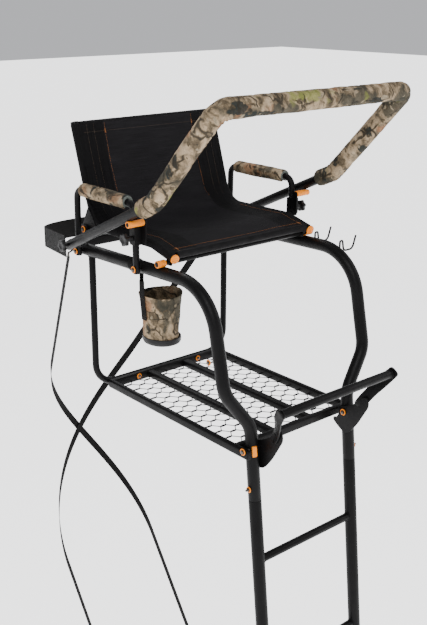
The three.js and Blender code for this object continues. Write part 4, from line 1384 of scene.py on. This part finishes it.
def build_rests():
    """A channel round the armrest's front leg, its sleeved peg and its clamping knob."""
    inner, outer = ARM_X - ARM_R - 0.3, ARM_X + ARM_R + 0.3
    thick = 4
    low, high = REST_Z - 68, REST_Z - 14
    front, rear = ARM_FRONT - ARM_R - 0.3, ARM_FRONT + 13
    web_front = REST_Y + 9.9
    web_y, web_z = (web_front + front) / 2, (low + high) / 2
    peg_end = 362
    for label, s in SIDES:
        shell = Shell()
        inside = soften([(REST_Y - 10, low), (rear, low), (rear, high), (REST_Y + 10, high),
                         (REST_Y + 10, REST_Z + 8), (REST_Y - 10, REST_Z + 8)], 6)
        plate(shell, inside, s * (inner - thick), s * inner, bevel=1.0)
        outside = eased_box(web_front, low, rear, high, 6)
        plate(shell, outside, s * outer, s * (outer + thick), bevel=1.0)
        web = [(s * (inner - 1), web_y, web_z), (s * (outer + 1), web_y, web_z)]
        bar(shell, bent(web), rounded_box(front - web_front, high - low, 1.5))
        peg = [(s * (inner - 3), REST_Y, REST_Z), (s * peg_end, REST_Y, REST_Z)]
        bar(shell, bent(peg), circle(6, 20))
        bead(shell, ring_loop((s * (inner + 0.2), REST_Y, REST_Z), (1, 0, 0), 6.4, 20), 1.4)
        form(f"{label}_rail_rest", shell, body=f"{label}_rest")
        shell = Shell()
        start, end = (s * (inner + 1.5), REST_Y, REST_Z), (s * (peg_end - 1), REST_Y, REST_Z)
        grip_sleeve(shell, start, end, 9.6, 6.4)
        form(f"{label}_rail_rest_sleeve", shell, "orange_grip", f"{label}_rest")
        shell = Shell()
        face = (s * (outer + thick + 0.3), ARM_FRONT, REST_Z - 48)
        knob_form(shell, face, (s, 0, 0), thick, collar=20)
        form(f"{label}_rest_knob", shell, "black_plastic", f"{label}_rest_knob")


# ---------------------------------------------------------------- cup holder and hooks
def build_cup_holder():
    x0, y0 = CUP
    bottom, top = 190, 336
    levels = 26
    angles = turns(64)

    def around(angle, radius, z):
        return Vector((x0 + radius * math.cos(angle), y0 + radius * math.sin(angle), z))

    def wall(share, angle):
        radius = 54.5 + 12.5 * share - 2.5 * math.sin(math.pi * share)
        radius += 1.3 * math.sin(2 * angle + 0.7) * share
        radius += 2.4 * noise.noise(Vector((math.cos(angle) * 1.5, math.sin(angle) * 1.5, share * 3.0)))
        radius -= 1.6 * hump(share, 0.9, 0.025)
        return radius

    rows = []
    for i in range(levels + 1):
        share = i / levels
        line = []
        for angle in angles:
            z = bottom + (top - bottom) * share + 2.6 * math.sin(2 * angle + 2.1) * share ** 4
            line.append(around(angle, wall(share, angle), z))
        rows.append(line)
    shell = Shell()
    thick_sheet(shell, rows, 2.4, closed=True)
    cup = form("cup_holder", shell, "camo_fabric", looks=[CAMO], sharp=60)

    shell = Shell()
    lip = [point - Vector((math.cos(angle), math.sin(angle), 0)) * 1.2
           for point, angle in zip(rows[-1], angles)]
    bead(shell, lip, 2.0)
    rim = piece("cup_holder_rim", shell, "stand", [CAMO], sharp=60)

    shell = Shell()
    profile = [(0, 176.5), (32, 177), (50, 179), (56.5, 182.5), (59.5, 188), (60, 194), (59.2, 201),
               (57.8, 202), (56.4, 201), (54, 192), (52, 185), (46, 182), (0, 181)]
    rows = []
    for radius, z in profile:
        line = []
        for angle in angles:
            sag = 1 + 0.035 * math.cos(angle + 0.9)
            line.append(around(angle, radius * sag, z - 2.0 * math.cos(angle + 0.9) * radius / 60))
        rows.append(line)
    capped(shell, rows[1:-1])
    form("cup_holder_base", shell, "black_plastic")


def build_cup_strap():
    """Webbing sewn to the cup's outer side and looped round the right main rail."""
    x0, y0 = CUP
    shell = Shell()
    rail = Vector((-SEAT_HALF, y0, rail_z(y0)))
    loop_r = RAIL_R + 1.6
    rise = ((63, 262), (66.6, 300), (70.4, 340), (70.6, 385))
    points = [Vector((x0 - out, y0, z)) for out, z in rise]
    normals = [Vector((-1, 0, 0))] * len(rise)
    for k in range(29):
        angle = math.radians(-8 + 352 * k / 28)
        spoke = Vector((math.cos(angle), 0, math.sin(angle)))
        points.append(rail + spoke * loop_r)
        normals.append(spoke)
    ribbon(shell, points, normals, 24, 2)
    for height, out in ((268, 64.8), (276, 65.6), (330, 70.7)):
        path = [Vector((x0 - out, y0 - 9 + k * 1.5, height + (1.2 if k % 2 else 0))) for k in range(13)]
        stitch_line(shell, path, 1, 2.2, 0.8, 0.5)
    form("cup_holder_strap", shell, "black_webbing", looks=[WEBBING, DULL_THREAD])


def rail_top(y):
    """The height of a main rail's upper side, on its straight run or its bend."""
    if y > BEND_START:
        return rail_z(y) + RAIL_R
    centre = rail_z(BEND_START) - RAIL_BEND
    return centre + math.sqrt((RAIL_BEND + RAIL_R) ** 2 - (BEND_START - y) ** 2)


def build_hooks():
    """Bent wire on the left rail's outer side: a small loop, a bow outwards, an upturned tip."""
    for name, y in (("rear", 266), ("front", 160)):
        face = SEAT_HALF + RAIL_R + 0.3
        centre = rail_z(y) if y > BEND_START else rail_top(y) - RAIL_R * 1.15
        offsets = ((0, 6), (7, 6), (7, 28), (19, 28), (25, -6), (66, -6), (80, 36))
        corners = [(face + out, y, centre + up) for out, up in offsets]
        shell = Shell()
        bar(shell, bent(corners, (4, 5, 5, 14, 18), 10), circle(3.0, 14), up=(0, 1, 0), bevel=1.4)
        bead(shell, ring_loop((face + 0.2, y, centre + 6), (1, 0, 0), 3.2, 14), 1.4)
        form(f"{name}_accessory_hook", shell)


# ---------------------------------------------------------------- straps
def round_trunk(start, end, radius, arc_steps):
    """A taut run off an anchor, round the back of the trunk and on to the far anchor."""
    centre = Vector((0, TREE_Y))

    def tangent_angle(anchor, side):
        offset = Vector((anchor.x, anchor.y)) - centre
        return math.atan2(offset.y, offset.x) + side * math.acos(radius / offset.length)

    side = 1 if start.x > 0 else -1
    first = tangent_angle(start, side)
    last = tangent_angle(end, -side)
    while side * (last - first) < 0:
        last += side * 2 * math.pi
    while side * (last - first) > 2 * math.pi:
        last -= side * 2 * math.pi
    flat = [Vector((start.x, start.y, 0))]
    for k in range(arc_steps + 1):
        angle = first + (last - first) * k / arc_steps
        flat.append(Vector((radius * math.cos(angle), TREE_Y + radius * math.sin(angle), 0)))
    flat.append(Vector((end.x, end.y, 0)))
    runs = [0]
    for a, b in zip(flat, flat[1:]):
        runs.append(runs[-1] + (b - a).length)
    points = [Vector((p.x, p.y, start.z + (end.z - start.z) * run / runs[-1]))
              for p, run in zip(flat, runs)]
    outward = [Vector((p.x, p.y - TREE_Y, 0)).normalized() for p in flat]
    normals = [outward[min(max(i, 1), len(flat) - 2)] for i in range(len(flat))]
    return points, normals


ANCHOR_X = SEAT_HALF + RAIL_R + 3


def build_tree_strap():
    shell = Shell()
    start, end = (Vector((s * ANCHOR_X, ANCHOR_Y, BRACE.z - 12)) for s in (1, -1))
    points, normals = round_trunk(start, end, TREE_R + 2, 48)
    points = [p - Vector((0, 0, STRAP_SLOPE * (p.y - ANCHOR_Y))) for p in points]
    ribbon(shell, points, normals, STRAP_WIDTH, 2.4)
    form("tree_strap", shell, "black_webbing")


def build_stabilizers():
    """Straps from an eye under each main rail round the trunk to the ladder's other side."""
    rail_bottom = rail_z(EYE_Y) - RAIL_R
    for label, s in SIDES:
        shell = Shell()
        foot = on_ladder(-s * (LADDER_HALF + RAIL_R * 0.2), STABILIZER_FOOT)
        foot += Vector((0, RAIL_R + 14, 0))
        start = Vector((s * ANCHOR_X, EYE_Y, rail_bottom - 8))
        points, normals = round_trunk(start, foot, TREE_R + (2 if s > 0 else 6), 48)
        ribbon(shell, points, normals, 25, 1.8)
        form(f"{label}_stabilizer_strap", shell, "black_webbing")
        shell = Shell()
        wire = [(s * (SEAT_HALF + 8), EYE_Y, rail_bottom + 3), (s * ANCHOR_X, EYE_Y, rail_bottom - 2),
                (s * (ANCHOR_X + 2), EYE_Y, rail_bottom - 14)]
        bar(shell, bent(wire, (5,), 8), circle(2.6, 14), up=(0, 1, 0))
        piece(f"{label}_stabilizer_eye", shell, "stand", [STEEL])


def finish_ratchet():
    """The ratchet's CAD shapes stay, with a steel look and eased edges."""
    for name in ("ratchet_frame", "ratchet_lever"):
        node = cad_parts[name]
        node.data.materials.clear()
        node.data.materials.append(STEEL)
        bevel = node.modifiers.new("bevel", "BEVEL")
        bevel.width = 0.0009
        bevel.segments = 2
        bevel.limit_method = "ANGLE"
        bevel.angle_limit = math.radians(35)


def build_extras():
    """Small fittings on the knees and ladder tops: bolts and the footrest's orange stops."""
    for label, s in SIDES:
        shell = Shell()
        bolt_head(shell, (s * 303.6, 64, 246), (s, 0, 0), size=5.2, washer=7.4)
        piece(f"{label}_knee_bolt", shell, "stand", [STEEL, ORANGE])
        at = on_ladder(s * LADDER_HALF, 22)
        bumper = Shell()
        plate(bumper, eased_box(-7.5, -16, 7.5, 16, 4), 0, 6, "XY", 1.6)
        out = Vector((s * 0.35, -0.93, 0)).normalized()
        up = on_ladder(0, -1).normalized()
        side = up.cross(out)
        bumper.verts = [at + side * v.x + up * v.y + out * (RAIL_R - 2.5 + v.z) for v in bumper.verts]
        piece(f"{label}_footrest_stop", bumper, "stand", [ORANGE])


build_rails()
build_ladder()
build_rear_frame()
build_brace()
build_platform_frame()
build_deck()
build_platform_bolts()
build_footrest()
build_seat_frame()
build_sling()
build_arms()
build_shooting_rail()
build_rests()
build_cup_holder()
build_cup_strap()
build_hooks()
build_tree_strap()
build_stabilizers()
finish_ratchet()
build_extras()


# ---------------------------------------------------------------- studio
def area_light(name, place, aim, size, power):
    data = bpy.data.lights.new(name, "AREA")
    data.shape = "DISK"
    data.size = size
    data.energy = power
    light = new_object(name, data)
    light.location = place
    light.rotation_euler = (Vector(aim) - Vector(place)).to_track_quat("-Z", "Y").to_euler()


def build_studio():
    mesh = bpy.data.meshes.new("floor")
    half = 60
    z = cad_low.z - 0.002
    corners = [(-half, -half, z), (half, -half, z), (half, half, z), (-half, half, z)]
    mesh.from_pydata(corners, [], [(0, 1, 2, 3)])
    mesh.materials.append(studio_floor())
    new_object("floor", mesh)
    world = bpy.data.worlds.new("studio")
    world.use_nodes = True
    background = world.node_tree.nodes["Background"]
    background.inputs["Color"].default_value = (0.95, 0.96, 1, 1)
    background.inputs["Strength"].default_value = 0.6
    bpy.context.scene.world = world
    area_light("key", (-3.5, -4.0, 4.5), (0, -0.5, 0), 3.0, 270)
    area_light("fill", (4.5, -3.0, 2.5), (0, -0.5, 0), 4.0, 100)
    area_light("rim", (1.5, 4.0, 4.0), (0, -0.5, 0), 3.0, 140)


build_studio()
